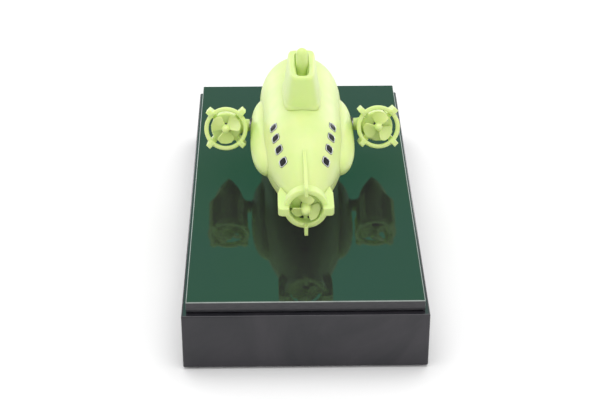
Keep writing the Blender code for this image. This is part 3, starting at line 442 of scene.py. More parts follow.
LIME = lime_plastic()
LACQUER = black_lacquer()
MIRROR = green_mirror()
EDGE_BAND = polished_edge()
# painted highlight for the platform's top arris
ARRIS_HIGHLIGHT = arris_highlight_paint()
BLACK_MOULDING = grained_black("black_moulding", (0.020, 0.020, 0.022), 0.50, 2600.0)
RUBBER = grained_black("foot_rubber", (0.022, 0.022, 0.023), 0.85, 1800.0)
STEEL = drawn_metal("bright_steel", (0.62, 0.63, 0.65), (0.46, 0.47, 0.49), 0.28)
SILVER = drawn_metal("silver_trim", (0.86, 0.87, 0.88), (0.74, 0.75, 0.77), 0.30)
BRASS = drawn_metal("turned_brass", (0.80, 0.60, 0.28), (0.66, 0.47, 0.20), 0.28)
PANE = dark_pane()
FOIL = battery_foil()
BOARD = board_laminate()


# ============================================================ geometry nodes
def new_tree(name, **inputs):
    """An empty node tree with named inputs; each value is a socket type."""
    tree = bpy.data.node_groups.new(name, "GeometryNodeTree")
    tree.interface.new_socket("Geometry", in_out="INPUT", socket_type="NodeSocketGeometry")
    for label, kind in inputs.items():
        tree.interface.new_socket(label.replace("_", " "), in_out="INPUT",
                                  socket_type="NodeSocket" + kind)
    tree.interface.new_socket("Geometry", in_out="OUTPUT", socket_type="NodeSocketGeometry")
    tree.nodes.new("NodeGroupInput")
    tree.nodes.new("NodeGroupOutput")
    return tree


def given(tree, label):
    return tree.nodes["Group Input"].outputs[label.replace("_", " ")]


def step(tree, kind, sources=None, **settings):
    return add_node(tree, kind, sources, **settings).outputs


def sums(tree, operation, first, second):
    outputs = step(tree, "ShaderNodeMath", {0: first, 1: second}, operation=operation)
    return outputs["Value"]


def close_tree(tree, geometry):
    """Realize Instances, then Set Material, then the tree's output."""
    real = step(tree, "GeometryNodeRealizeInstances", {"Geometry": geometry})["Geometry"]
    coated = step(tree, "GeometryNodeSetMaterial", {
        "Geometry": real, "Material": given(tree, "Material")})["Geometry"]
    tree.links.new(coated, tree.nodes["Group Output"].inputs["Geometry"])
    return tree


def grow(tree, carrier, **values):
    """Run a tree on a mesh and return the plain mesh that it makes."""
    maker = linked("maker", carrier)
    modifier = maker.modifiers.new("grow", "NODES")
    modifier.node_group = tree
    identifiers = {item.name: item.identifier for item in tree.interface.items_tree
                   if item.in_out == "INPUT"}
    for label, value in values.items():
        modifier[identifiers[label.replace("_", " ")]] = value
    bpy.context.view_layer.update()
    graph = bpy.context.evaluated_depsgraph_get()
    mesh = bpy.data.meshes.new_from_object(maker.evaluated_get(graph))
    bpy.data.objects.remove(maker)
    return mesh


def turned_body_tree():
    """Sweeps an outline round local Z, as a lathe would."""
    tree = new_tree("turned_body", Facets="Int", Material="Material")
    outline = step(tree, "GeometryNodeMeshToCurve", {"Mesh": given(tree, "Geometry")})["Curve"]
    axis = step(tree, "GeometryNodeCurvePrimitiveCircle", {
        "Resolution": given(tree, "Facets"), "Radius": 0.0001 * MM}, mode="RADIUS")["Curve"]
    upright = step(tree, "GeometryNodeSetCurveNormal", {"Curve": axis}, mode="Z_UP")["Curve"]
    skin = step(tree, "GeometryNodeCurveToMesh", {
        "Curve": upright, "Profile Curve": outline})["Mesh"]
    closed = step(tree, "GeometryNodeMergeByDistance", {
        "Geometry": skin, "Distance": WELD})["Geometry"]
    return close_tree(tree, closed)


def ring_of_copies_tree():
    """Copies a shape round local Z: blades round a hub, fins round a pod."""
    tree = new_tree("ring_of_copies", Copies="Int", First_Angle="Float", Material="Material")
    count = given(tree, "Copies")
    points = step(tree, "GeometryNodePoints", {"Count": count})["Points"]
    share = sums(tree, "DIVIDE", 2 * math.pi, count)
    turn = sums(tree, "MULTIPLY", step(tree, "GeometryNodeInputIndex")["Index"], share)
    turn = sums(tree, "ADD", turn, given(tree, "First Angle"))
    rotation = step(tree, "ShaderNodeCombineXYZ", {"Z": turn})["Vector"]
    copies = step(tree, "GeometryNodeInstanceOnPoints", {
        "Points": points, "Instance": given(tree, "Geometry"), "Rotation": rotation})["Instances"]
    return close_tree(tree, copies)


def four_corners_tree():
    """Copies a shape to the corners of a rectangle: screws and feet."""
    tree = new_tree("four_corners", Spread_X="Float", Spread_Y="Float", Material="Material")
    grid = step(tree, "GeometryNodeMeshGrid", {
        "Size X": given(tree, "Spread X"), "Size Y": given(tree, "Spread Y"),
        "Vertices X": 2, "Vertices Y": 2})["Mesh"]
    copies = step(tree, "GeometryNodeInstanceOnPoints", {
        "Points": grid, "Instance": given(tree, "Geometry")})["Instances"]
    return close_tree(tree, copies)


def window_row_tree():
    """Sets a row of window fittings on the hull, each square to the skin it lands on."""
    tree = new_tree("window_row", Hull="Object", Count="Int", First="Float", Pitch="Float",
                    Tilt="Float", Side="Float", Material="Material")
    points = step(tree, "GeometryNodePoints", {"Count": given(tree, "Count")})["Points"]
    index = step(tree, "GeometryNodeInputIndex")["Index"]
    station = sums(tree, "SUBTRACT", given(tree, "First"),
                   sums(tree, "MULTIPLY", index, given(tree, "Pitch")))
    start = step(tree, "ShaderNodeCombineXYZ", {"Y": station})["Vector"]
    across = sums(tree, "MULTIPLY", given(tree, "Side"),
                  sums(tree, "COSINE", given(tree, "Tilt"), 0.0))
    upwards = sums(tree, "SINE", given(tree, "Tilt"), 0.0)
    outwards = step(tree, "ShaderNodeCombineXYZ", {"X": across, "Z": upwards})["Vector"]
    hull = step(tree, "GeometryNodeObjectInfo", {"Object": given(tree, "Hull")})["Geometry"]
    hit = step(tree, "GeometryNodeRaycast", {
        "Target Geometry": hull, "Source Position": start, "Ray Direction": outwards})
    facing = step(tree, "FunctionNodeAlignRotationToVector", {
        "Vector": hit["Hit Normal"]}, axis="Z")["Rotation"]
    level = step(tree, "FunctionNodeAlignRotationToVector", {
        "Rotation": facing, "Vector": (0.0, 1.0, 0.0)}, axis="Y", pivot_axis="Z")["Rotation"]
    placed = step(tree, "GeometryNodeSetPosition", {
        "Geometry": points, "Position": hit["Hit Position"]})["Geometry"]
    row = step(tree, "GeometryNodeInstanceOnPoints", {
        "Points": placed, "Instance": given(tree, "Geometry"), "Rotation": level})["Instances"]
    return close_tree(tree, row)


TURNED_BODY = turned_body_tree()
RING_OF_COPIES = ring_of_copies_tree()
FOUR_CORNERS = four_corners_tree()
WINDOW_ROW = window_row_tree()


# ============================================================ mesh helpers
def mesh_of(shape, name):
    mesh = bpy.data.meshes.new(name)
    shape.to_mesh(mesh)
    shape.free()
    return mesh


def recalculated(mesh):
    """Faces outwards on a closed mesh whose doubles are already merged."""
    shape = bmesh.new()
    shape.from_mesh(mesh)
    bmesh.ops.recalc_face_normals(shape, faces=shape.faces)
    shape.to_mesh(mesh)
    shape.free()
    return mesh


def lathe(outline, facets=HULL_FACETS, material=LIME, ring=False):
    """A solid turned about local Z from points of (radius, height)."""
    mesh = bpy.data.meshes.new("outline")
    edges = [(i, i + 1) for i in range(len(outline) - 1)]
    if ring:
        edges.append((len(outline) - 1, 0))
    mesh.from_pydata([(radius, -height, 0.0) for radius, height in outline], edges, [])
    return recalculated(grow(TURNED_BODY, mesh, Facets=facets, Material=material))


def box_mesh(low, high):
    shape = bmesh.new()
    bmesh.ops.create_cube(shape, size=1.0)
    low, high = Vector(low), Vector(high)
    bmesh.ops.scale(shape, vec=high - low, verts=shape.verts)
    bmesh.ops.translate(shape, vec=(low + high) / 2, verts=shape.verts)
    return mesh_of(shape, "box")


def slab(outline, thickness):
    """A flat outline in local X and Y, given thickness about local Z = 0."""
    shape = bmesh.new()
    face = shape.faces.new([shape.verts.new((x, y, -thickness / 2)) for x, y in outline])
    raised = bmesh.ops.extrude_face_region(shape, geom=[face])["geom"]
    lifted = [item for item in raised if isinstance(item, bmesh.types.BMVert)]
    bmesh.ops.translate(shape, vec=(0, 0, thickness), verts=lifted)
    bmesh.ops.recalc_face_normals(shape, faces=shape.faces)
    return mesh_of(shape, "slab")


def skinned(sections):
    """A closed skin over sections of equal count."""
    shape = bmesh.new()
    rows = [[shape.verts.new(point) for point in section] for section in sections]
    count = len(rows[0])
    for lower, upper in zip(rows, rows[1:]):
        for i in range(count):
            j = (i + 1) % count
            shape.faces.new((lower[i], lower[j], upper[j], upper[i]))
    shape.faces.new(rows[0])
    shape.faces.new(rows[-1])
    bmesh.ops.recalc_face_normals(shape, faces=shape.faces)
    return mesh_of(shape, "skinned")


def moved(mesh, place):
    mesh.transform(place)
    if place.determinant() < 0:
        mesh.flip_normals()
    return mesh


def gathered(meshes):
    shape = bmesh.new()
    for mesh in meshes:
        shape.from_mesh(mesh)
    return mesh_of(shape, "gathered")


def worked(mesh, *modifiers):
    """Apply modifiers, each given as (type, settings), and return the plain mesh."""
    holder = linked("holder", mesh)
    for kind, settings in modifiers:
        modifier = holder.modifiers.new(kind.lower(), kind)
        for field, value in settings.items():
            setattr(modifier, field, value)
    graph = bpy.context.evaluated_depsgraph_get()
    result = bpy.data.meshes.new_from_object(holder.evaluated_get(graph))
    bpy.data.objects.remove(holder)
    return result


def cut_by(mesh, *cutters, operation="DIFFERENCE"):
    for cutter in cutters:
        tool = linked("cutter", cutter)
        mesh = worked(mesh, ("BOOLEAN", {"operation": operation, "solver": "EXACT",
                                         "object": tool}))
        bpy.data.objects.remove(tool)
    return mesh


def moulded(meshes, grain, smoothing=6):
    """Melts overlapping solids into one moulding with small fillets."""
    return worked(
        gathered(meshes),
        ("REMESH", {"mode": "VOXEL", "voxel_size": grain, "adaptivity": 0.0}),
        ("SMOOTH", {"factor": 0.5, "iterations": smoothing}),
    )


def flat_faces(mesh):
    """Keep the broad faces of a box dead flat, so that only its rounded edges shade softly."""
    for face in mesh.polygons:
        face.use_smooth = max(abs(value) for value in face.normal) < FLAT


def piece(name, mesh, body, material, nodes=(), place=Matrix.Identity(4),
          crease=SHELL_CREASE):
    """Finish a mesh as a named piece that rides on a body and stands for CAD nodes."""
    moved(mesh, place)
    mesh.name = name
    mesh.materials.clear()
    mesh.materials.append(material)
    mesh.shade_smooth()
    mesh.set_sharp_from_angle(angle=math.radians(crease))
    item = linked(name, mesh)
    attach(item, body)
    if nodes:
        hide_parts(*nodes)
    return item


LENGTHWISE = Matrix.Rotation(-math.pi / 2, 4, "X")      # a lathe's axis laid along +Y
TO_PORT = Matrix.Scale(-1, 4, (1, 0, 0))
SIDES = {"port": TO_PORT, "starboard": Matrix.Identity(4)}


# ============================================================ hull
def hull_radius(y):
    if y > NOSE_START:
        share = min((y - NOSE_START) / (NOSE_TIP - NOSE_START), 1.0)
        return HULL_RADIUS * math.sqrt(max(1 - share ** NOSE_FULLNESS, 0.0))
    if y < TAIL_START:
        share = (TAIL_START - y) / (TAIL_START - STERN_END)
        return STERN_RADIUS + (HULL_RADIUS - STERN_RADIUS) * (1 - share ** TAIL_FULLNESS)
    return HULL_RADIUS


def hull_outline(inset=0.0):
    """(radius, y) from the nose back to the stern, moved inwards by inset."""
    points = []
    for i in range(HULL_STEPS + 1):
        share = math.cos(i / HULL_STEPS * math.pi / 2)
        y = NOSE_START + (NOSE_TIP - NOSE_START) * share
        points.append((max(hull_radius(y) - inset, 0.0) if i else 0.0, y - inset * share))
    for i in range(1, HULL_STEPS + 1):
        y = NOSE_START + (STERN_END - NOSE_START) * i / HULL_STEPS
        points.append((hull_radius(y) - inset, y))
    return points


def hull_solid(inset=0.0, facets=HULL_FACETS):
    outline = hull_outline(inset)
    return moved(lathe([*outline, (0.0, outline[-1][1])], facets), LENGTHWISE)


def half_shell(upper):
    """Half of the hull's shell, swept through half a turn, with a level rim."""
    shape = bmesh.new()
    side = 1 if upper else -1
    steps = HULL_FACETS // 2
    profile = hull_outline() + hull_outline(HULL_WALL)[::-1]
    poles = {i: shape.verts.new((0.0, y, 0.0))
             for i, (radius, y) in enumerate(profile) if radius == 0.0}
    rows = []
    for turn in range(steps + 1):
        across, upwards = math.cos(turn / steps * math.pi), math.sin(turn / steps * math.pi)
        rows.append([poles.get(i) or shape.verts.new((radius * across, y, side * radius * upwards))
                     for i, (radius, y) in enumerate(profile)])
    for row, following in zip(rows, rows[1:]):
        for i, j in zip(range(len(profile)), range(1, len(profile))):
            corners = list(dict.fromkeys((row[i], row[j], following[j], following[i])))
            if len(corners) > 2:
                shape.faces.new(corners)
    shape.faces.new(rows[0])
    shape.faces.new(rows[-1])
    bmesh.ops.recalc_face_normals(shape, faces=shape.faces)
    for vertex in shape.verts:
        if abs(vertex.co.z) < SEAM / 2:
            vertex.co.z = side * SEAM / 2
    return mesh_of(shape, "half_shell")


def screw_pocket(y, radius):
    """A round recess cut up into the belly at a station."""
    outline = [(0.0, 0.0), (radius, 0.0), (radius, POCKET_HEIGHT), (0.0, POCKET_HEIGHT)]
    place = Matrix.Translation((0, y, -hull_radius(y) - POCKET_DEPTH))
    return moved(lathe(outline, SCREW_FACETS), place)


def make_hull():
    piece("upper_hull_skin", half_shell(True), "submarine", LIME,
          ["upper_hull"], BOAT)
    belly = half_shell(False)
    for node in ("hull_screw_fore", "hull_screw_aft", "charging_socket"):
        low, high = span(node, BOAT)
        belly = cut_by(belly, screw_pocket((low.y + high.y) / 2, (high.y - low.y) / 2 + SEAM))
    piece("lower_hull_skin", belly, "submarine", LIME, ["lower_hull"], BOAT,
          BELLY_CREASE)


def make_tanks():
    outline = []
    for i in range(TANK_STEPS + 1):
        share = math.cos(i / TANK_STEPS * math.pi)
        radius = TANK_RADIUS * math.sqrt(max(1 - abs(share) ** TANK_FULLNESS, 0.0))
        outline.append((radius if 0 < i < TANK_STEPS else 0.0, TANK_HALF_LENGTH * share))
    for side, mirror in SIDES.items():
        place = Matrix.Translation((TANK_HIGH.x - TANK_RADIUS, TANK_CENTRE, 0)) @ LENGTHWISE
        tank = cut_by(moved(lathe(outline, POD_FACETS), place), hull_solid(TANK_LAP, POD_FACETS))
        piece(f"{side}_tank_skin", moved(tank, mirror), "submarine", LIME,
              [f"{side}_saddle_tank"], BOAT)


# ============================================================ windows
def rounded_outline(length, height, corner, steps=6):
    points = []
    for quarter in range(4):
        middle = math.radians(45 + 90 * quarter)
        x = math.copysign(height / 2 - corner, math.cos(middle))
        y = math.copysign(length / 2 - corner, math.sin(middle))
        for i in range(steps + 1):
            angle = math.radians(90 * quarter + 90 * i / steps)
            points.append((x + corner * math.cos(angle), y + corner * math.sin(angle)))
    return points


def window_ring(outer, inner, low, high):
    """A rounded frame between two insets of the window's outline."""
    def loop(inset, z):
        points = rounded_outline(WINDOW_LENGTH - 2 * inset, WINDOW_HEIGHT - 2 * inset,
                                 WINDOW_CORNER - inset * WINDOW_CORNER_SHRINK)
        return [(x, y, z) for x, y in points]

    soft = TRIM_SOFTNESS
    loops = [loop(outer, low), loop(outer, high - soft), loop(outer + soft, high),
             loop(inner - soft, high), loop(inner, high - soft), loop(inner, low)]
    shape = bmesh.new()
    rows = [[shape.verts.new(point) for point in points] for points in loops]
    for lower, upper in zip(rows, rows[1:] + rows[:1]):
        for i in range(len(lower)):
            j = (i + 1) % len(lower)
            shape.faces.new((lower[i], lower[j], upper[j], upper[i]))
    bmesh.ops.recalc_face_normals(shape, faces=shape.faces)
    return mesh_of(shape, "window_ring")


def window_pane():
    """A slightly crowned pane whose edge lies under the trim."""
    lap = WINDOW_FRAME - PANE_LAP
    crown = ((WINDOW_ROOT, 0.0), (0.02 * MM, 0.0), (0.12 * MM, 0.3 * MM), (0.16 * MM, 0.9 * MM))
    sections = []
    for z, extra in crown:
        margin = lap + extra
        corner = WINDOW_CORNER - WINDOW_CORNER_SHRINK * (lap + extra / 2)
        points = rounded_outline(WINDOW_LENGTH - 2 * margin, WINDOW_HEIGHT - 2 * margin, corner)
        sections.append([(x, y, z) for x, y in points])
    return skinned(sections)


def make_windows():
    hull = linked("window_target", hull_solid())
    fittings = (
        ("window_trim", window_ring(0.0, WINDOW_FRAME, WINDOW_ROOT, TRIM_RISE), SILVER,
         "bright_steel"),
        ("window_gasket", window_ring(GASKET_OUTSIDE, GASKET_INSIDE, WINDOW_ROOT, GASKET_RISE),
         RUBBER, "black_rubber"),
        ("window_panes", window_pane(), PANE, "dark_pane"),
    )
    for side, sign in (("port", -1.0), ("starboard", 1.0)):
        nodes = [f"{side}_window_{i + 1}" for i in range(WINDOW_COUNT)]
        for name, fitting, material, slot in fittings:
            row = grow(WINDOW_ROW, fitting.copy(), Hull=hull, Count=WINDOW_COUNT,
                       First=WINDOW_FIRST, Pitch=WINDOW_PITCH, Tilt=WINDOW_TILT, Side=sign,
                       Material=material)
            piece(f"{side}_{name}", row, "submarine", material,
                  nodes if name == "window_panes" else (), BOAT)
    bpy.data.objects.remove(hull)


# ============================================================ conning tower
def tower_section(z, half_width, aft, fore, count=72):
    """A level section, blunter at the fore end and narrower towards the aft end."""
    middle = (aft + fore) / 2
    half_length = (fore - aft) / 2
    points = []
    for i in range(count):
        angle = (i + 0.5) / count * 2 * math.pi
        bluntness = TOWER_BLUNTNESS_FORE if math.sin(angle) > 0 else TOWER_BLUNTNESS_AFT
        x = math.copysign(abs(math.cos(angle)) ** (2 / bluntness), math.cos(angle))
        y = math.copysign(abs(math.sin(angle)) ** (2 / bluntness), math.sin(angle))
        taper = 1 - TOWER_TAPER * max(-y, 0.0)
        points.append((half_width * x * taper, middle + half_length * y, z))
    return points


def make_tower():
    foot_half = TOWER_HIGH.x
    aft, fore = TOWER_LOW.y, TOWER_HIGH.y
    skirt = TOWER_SKIRT
    deck = HULL_RADIUS
    rim_aft, rim_fore = aft + TOWER_RAKE, fore - 2 * TOWER_RAKE
    body = skinned([
        tower_section(deck - TOWER_ROOT, foot_half + skirt, aft - skirt, fore + skirt),
        tower_section(deck + 0.2 * MM, foot_half + skirt * 0.6, aft - skirt * 0.6, fore + skirt),
        tower_section(deck + 1.2 * MM, foot_half - 0.3 * MM, aft + 0.1 * MM, fore),
        tower_section(TOWER_RIM - TOWER_LIP, TOWER_RIM_HALF, rim_aft, rim_fore),
        tower_section(TOWER_RIM, TOWER_RIM_HALF - TOWER_LIP / 2, rim_aft + TOWER_LIP / 2,
                      rim_fore - TOWER_LIP / 2),
    ])
    well_half = TOWER_RIM_HALF - TOWER_RIM_WALL - WELL_DRAFT / 2
    well_aft = rim_aft + TOWER_RIM_WALL
    well_fore = rim_fore - TOWER_RIM_WALL
    well = skinned([
        tower_section(TOWER_RIM - WELL_DEPTH, well_half, well_aft, well_fore),
        tower_section(TOWER_RIM + TOWER_ROOT, well_half + WELL_DRAFT, well_aft - WELL_DRAFT,
                      well_fore + WELL_DRAFT),
    ])
    for vertex in body.vertices:
        if vertex.co.z > TOWER_RIM - 2 * TOWER_LIP:
            share = min(max((vertex.co.y - PERISCOPE_HIGH.y) / (fore - PERISCOPE_HIGH.y), 0), 1)
            vertex.co.z += TOWER_EAR_RISE * share ** TOWER_EAR_CURVE
            vertex.co.x *= 1 + TOWER_EAR_FLARE * share
    trimmed = cut_by(body, well, hull_solid(-TOWER_GAP))
    piece("tower_moulding", moulded([trimmed], MEDIUM_GRAIN, 8), "submarine",
          LIME, ["conning_tower"], BOAT, MOULDED_CREASE)


def make_periscope():
    middle = (PERISCOPE_LOW + PERISCOPE_HIGH) / 2
    head = PERISCOPE_HIGH.x - middle.x
    column = COLUMN_SHARE * head
    top = PERISCOPE_HIGH.z
    waist = TOWER_RIM - WELL_DEPTH
    outline = [(0.0, PERISCOPE_LOW.z), (column, PERISCOPE_LOW.z), (column, waist)]
    outline += [(column + (head - column) * (1 - math.cos(i / 6 * math.pi)) / 2,
                 waist + WELL_DEPTH * i / 6) for i in range(1, 7)]
    outline += [(head * math.cos(i / 12 * math.pi / 2),
                 top - head + head * math.sin(i / 12 * math.pi / 2)) for i in range(12)]
    outline.append((0.0, top))
    place = BOAT @ Matrix.Translation((middle.x, middle.y, 0))
    piece("periscope_head", lathe(outline, ROD_FACETS), "submarine", LIME,
          ["periscope"], place)


# ============================================================ stern
def soft_ring(bore, radius, low, high, soft, steps=4):
    """Outline of a hoop with rounded lips, as (radius, height)."""
    points = []
    for cx, cy, start in ((radius - soft, high - soft, 0), (bore + soft, high - soft, 90),
                          (bore + soft, low + soft, 180), (radius - soft, low + soft, 270)):
        for i in range(steps + 1):
            angle = math.radians(start + 90 * i / steps)
            points.append((cx + soft * math.cos(angle), cy + soft * math.sin(angle)))
    return points


def tail_fin(angle, outline, thickness):
    """A fin whose outline is (y, radius), set at an angle seen from astern."""
    upright = Matrix(((0, 1, 0, 0), (1, 0, 0, 0), (0, 0, -1, 0), (0, 0, 0, 1)))
    return moved(slab(outline, thickness), Matrix.Rotation(-angle, 4, "Y") @ upright)


def make_nozzle():
    hoop = lathe(soft_ring(NOZZLE_BORE, NOZZLE_RADIUS, NOZZLE_RIM, NOZZLE_RIM + NOZZLE_LENGTH,
                           NOZZLE_LIP), ring=True)
    cap = lathe([(SHAFT_HOLE, CAP_BACK), (STERN_RADIUS - 1.2 * MM, CAP_BACK),
                 (STERN_RADIUS - 0.3 * MM, CAP_BACK + 0.4 * MM), (STERN_RADIUS, STERN_END - SEAM),
                 (SHAFT_HOLE, STERN_END - SEAM)], ring=True)
    solids = [moved(hoop, LENGTHWISE), moved(cap, LENGTHWISE)]
    hull = hull_solid(-NOZZLE_GAP)
    inner = NOZZLE_BORE + FIN_LAP
    for angle, thickness, start in (
            (0, ELEVATOR_THICKNESS, ELEVATOR_FRONT), (90, RUDDER_THICKNESS, RUDDER_FRONT),
            (180, ELEVATOR_THICKNESS, ELEVATOR_FRONT), (270, RUDDER_THICKNESS, KEEL_FRONT)):
        root = hull_radius(start)
        soft = FIN_CORNER
        edge = [(start, root + 0.6 * MM)]
        if thickness > RUDDER_THICKNESS:
            soft = ELEVATOR_CORNER
            edge = [(start, root)]
            edge += [(start - ELEVATOR_SWEEP * share, root + (FIN_SPAN - root) * share ** 0.8)
                     for share in (0.25, 0.5, 0.75, 1.0)]
        outline = edge + [
            (FIN_BACK + soft, FIN_SPAN), (FIN_BACK + 0.3 * soft, FIN_SPAN - 0.3 * soft),
            (FIN_BACK, FIN_SPAN - soft), (FIN_BACK, inner), (CAP_BACK + FIN_LAP, inner),
            (CAP_BACK + FIN_LAP, STERN_RADIUS - FIN_ROOT),
            (STERN_END - SEAM, STERN_RADIUS - FIN_ROOT), (start, root - FIN_ROOT),
        ]
        solids.append(cut_by(tail_fin(math.radians(angle), outline, thickness), hull))
    piece("nozzle_moulding", moulded(solids, MEDIUM_GRAIN, 5), "submarine",
          LIME, ["stern_nozzle"], BOAT, MOULDED_CREASE)


# ============================================================ propellers
def blade_swell(out):
    """Width of a blade over its greatest width, from root (0) to tip (1)."""
    if out < BLADE_FULLEST:
        return 0.45 + 0.55 * math.sin(out / BLADE_FULLEST * math.pi / 2)
    return 1 - 0.42 * ((out - BLADE_FULLEST) / (1 - BLADE_FULLEST)) ** 2


def blade(root, tip):
    """One fan-shaped blade lying along local X, its sweep about local Z."""
    shape = bmesh.new()
    bmesh.ops.create_grid(shape, x_segments=20, y_segments=20, size=0.5)
    for vertex in shape.verts:
        across = vertex.co.x * 2
        out = vertex.co.y + 0.5
        radius = root + (tip - root) * out
        offset = across * BLADE_WIDTH * tip * blade_swell(out)
        pitch = math.radians(BLADE_ROOT_PITCH - BLADE_TWIST * out)
        camber = BLADE_CAMBER * tip * (1 - across ** 2)
        sideways = offset * math.cos(pitch)
        reach = math.sqrt(max(radius ** 2 - (sideways * out) ** 2, 0.0))
        vertex.co = Vector((reach, sideways, camber - offset * math.sin(pitch)))
    return worked(mesh_of(shape, "blade"), ("SOLIDIFY", {
        "thickness": BLADE_THICKNESS, "offset": 0.0}))


def make_propeller(name, place, blade_angle, hub_radius, hub_length, station):
    """Hub and three blades, standing for the CAD propeller on its own axis."""
    low, high = span(name, place)
    front = high.z
    back = front - hub_length
    tip = max(high.x, -low.x, high.y, -low.y)
    outline = [(0.0, front), (hub_radius - 0.3 * MM, front), (hub_radius, front - 0.4 * MM)]
    outline += [(hub_radius * math.cos(i / 10 * math.pi / 2),
                 back + hub_radius - hub_radius * 1.15 * math.sin(i / 10 * math.pi / 2))
                for i in range(10)]
    outline.append((0.0, back - 0.15 * hub_radius))
    hub = lathe(outline, HUB_FACETS)
    first = moved(blade(hub_radius * 0.8, tip), Matrix.Translation((0, 0, station)))
    blades = grow(RING_OF_COPIES, first, Copies=BLADE_COUNT,
                  First_Angle=math.radians(blade_angle), Material=LIME)
    piece(name + "_moulding", moulded([hub, blades], FINE_GRAIN, 5), name,
          LIME, [name], place, MOULDED_CREASE)


def make_propellers():
    hub_front = span("stern_propeller", BOAT)[1].y
    make_propeller("stern_propeller", BOAT @ LENGTHWISE, 30.0, STERN_HUB_RADIUS,
                   STERN_HUB_LENGTH, hub_front - STERN_BLADES_BACK)
    for side, sign, angle in (("port", -1, -30.0), ("starboard", 1, -80.0)):
        place = PODS @ Matrix.Translation((sign * POD_OFFSET, 0, 0)) @ LENGTHWISE
        make_propeller(f"{side}_propeller", place, angle, POD_HUB_RADIUS, POD_HUB_LENGTH,
                       GUARD_PLACE)


# ============================================================ side pods
def pod_nose():
    """A pointed nose whose spigot sits inside the front of the motor shell."""
    back = POD_SHOULDER + POD_JOIN
    spigot = POD_RADIUS - POD_SPIGOT_STEP
    outline = [(0.0, POD_SHOULDER - POD_SPIGOT), (spigot, POD_SHOULDER - POD_SPIGOT),
               (spigot, back), (POD_RADIUS - POD_JOIN / 2, back)]
    steps = 28
    for i in range(steps - 1, -1, -1):
        share = 1 - i / steps
        radius = POD_RADIUS * (1 - share ** POD_POINT)
        outline.append((radius if i else 0.0, back + (POD_NOSE - back) * share))
    return moved(lathe(outline, POD_FACETS), LENGTHWISE)


def pod_housing():
    """Motor shell with its strut flaring out of its side, for the starboard pod."""
    back = POD_TAIL + POD_CAP + POD_JOIN
    shell = moved(lathe(soft_ring(POD_RADIUS - POD_WALL, POD_RADIUS, back, POD_SHOULDER,
                                  1.5 * POD_JOIN), POD_FACETS, ring=True), LENGTHWISE)
    foot = POD_OFFSET - POD_RADIUS + STRUT_SINK
    steps = 10
    outline = [(0.0, foot)]
    for i in range(steps + 1):
        share = i / steps
        flare = STRUT_FLARE * (1 - share) ** 3
        outline.append((STRUT_RADIUS + flare, foot - (foot - STRUT_NEAR) * share))
    outline.append((0.0, STRUT_NEAR))
    strut = moved(lathe(outline, ROD_FACETS), Matrix.Rotation(math.pi / 2, 4, "Y"))
    moved(strut, Matrix.Translation((-POD_OFFSET, 0, 0)))
    return moulded([shell, strut], MEDIUM_GRAIN, 6)


def pod_guard():
    """Rear cap, ring and four fins of a pod."""
    cap_front = POD_TAIL + POD_CAP
    chamfer = 0.5 * MM
    cap = lathe([(SHAFT_HOLE, POD_TAIL), (POD_RADIUS - 0.6 * MM, POD_TAIL),
                 (POD_RADIUS, POD_TAIL + chamfer), (POD_RADIUS, cap_front),
                 (SHAFT_HOLE, cap_front)], POD_FACETS, ring=True)
    ring_back = GUARD_PLACE - GUARD_DEPTH / 2
    ring_front = GUARD_PLACE + GUARD_DEPTH / 2
    hoop = lathe(soft_ring(GUARD_BORE, GUARD_RADIUS, ring_back, ring_front, GUARD_LIP),
                 ring=True)
    clear = POD_RADIUS + POD_JOIN / 2
    middle = (GUARD_BORE + GUARD_RADIUS) / 2
    trail = ring_back - 0.5 * MM
    corner = GUARD_FIN_CORNER
    outline = [(middle, trail), (GUARD_FIN_REACH - corner, trail),
               (GUARD_FIN_REACH, trail + corner), (GUARD_FIN_REACH, GUARD_FIN_SHOULDER),
               (clear + corner, GUARD_FIN_FRONT), (clear, GUARD_FIN_FRONT), (clear, cap_front),
               (POD_RADIUS - MM, cap_front), (POD_RADIUS - MM, POD_TAIL + chamfer),
               (POD_RADIUS + corner, POD_TAIL + 0.3 * MM), (middle, ring_front - 0.3 * MM)]
    fin = moved(slab(outline, GUARD_FIN_THICKNESS), Matrix.Rotation(math.pi / 2, 4, "X"))
    fins = grow(RING_OF_COPIES, fin, Copies=4, First_Angle=math.radians(45.0), Material=LIME)
    return moved(moulded([cap, hoop, fins], MEDIUM_GRAIN, 5), LENGTHWISE)


def make_pods():
    parts = (("nose", pod_nose(), SHELL_CREASE), ("housing", pod_housing(), MOULDED_CREASE),
             ("guard", pod_guard(), MOULDED_CREASE))
    for side, mirror in SIDES.items():
        for name, mesh, crease in parts:
            copy = moved(mesh.copy(), Matrix.Translation((POD_OFFSET, 0, 0)))
            piece(f"{side}_pod_{name}_moulding", moved(copy, mirror), "pods",
                  LIME, [f"{side}_pod_{name}"], PODS, crease)


# ============================================================ display base
def bevelled_box(low, high, edge):
    return worked(box_mesh(low, high), ("BEVEL", {
        "width": edge, "segments": EDGE_STEPS, "limit_method": "NONE"}))


def make_base():
    wall = Vector((BASE_WALL, BASE_WALL, BASE_WALL))
    below = Vector((BASE_WALL, BASE_WALL, -BASE_WALL))
    outside = bevelled_box(SHELL_LOW, SHELL_HIGH, BASE_EDGE)
    hollow = box_mesh(SHELL_LOW + below, SHELL_HIGH - wall)
    shell = piece("base_lacquered_shell", cut_by(outside, hollow), "display_base",
                  LACQUER, ["base_shell"])
    flat_faces(shell.data)
    sheet = piece("platform_sheet", bevelled_box(PLATE_LOW, PLATE_HIGH, PLATE_EDGE),
                  "display_base", EDGE_BAND, ["platform_plate"])
    flat_faces(sheet.data)
    sheet.data.materials.append(MIRROR)
    sheet.data.materials.append(ARRIS_HIGHLIGHT)
    for face in sheet.data.polygons:
        if face.normal.z > FLAT:
            face.material_index = 1
        # upward-tilted arris faces get the painted highlight material
        elif face.normal.z > 0.1:
            face.material_index = 2


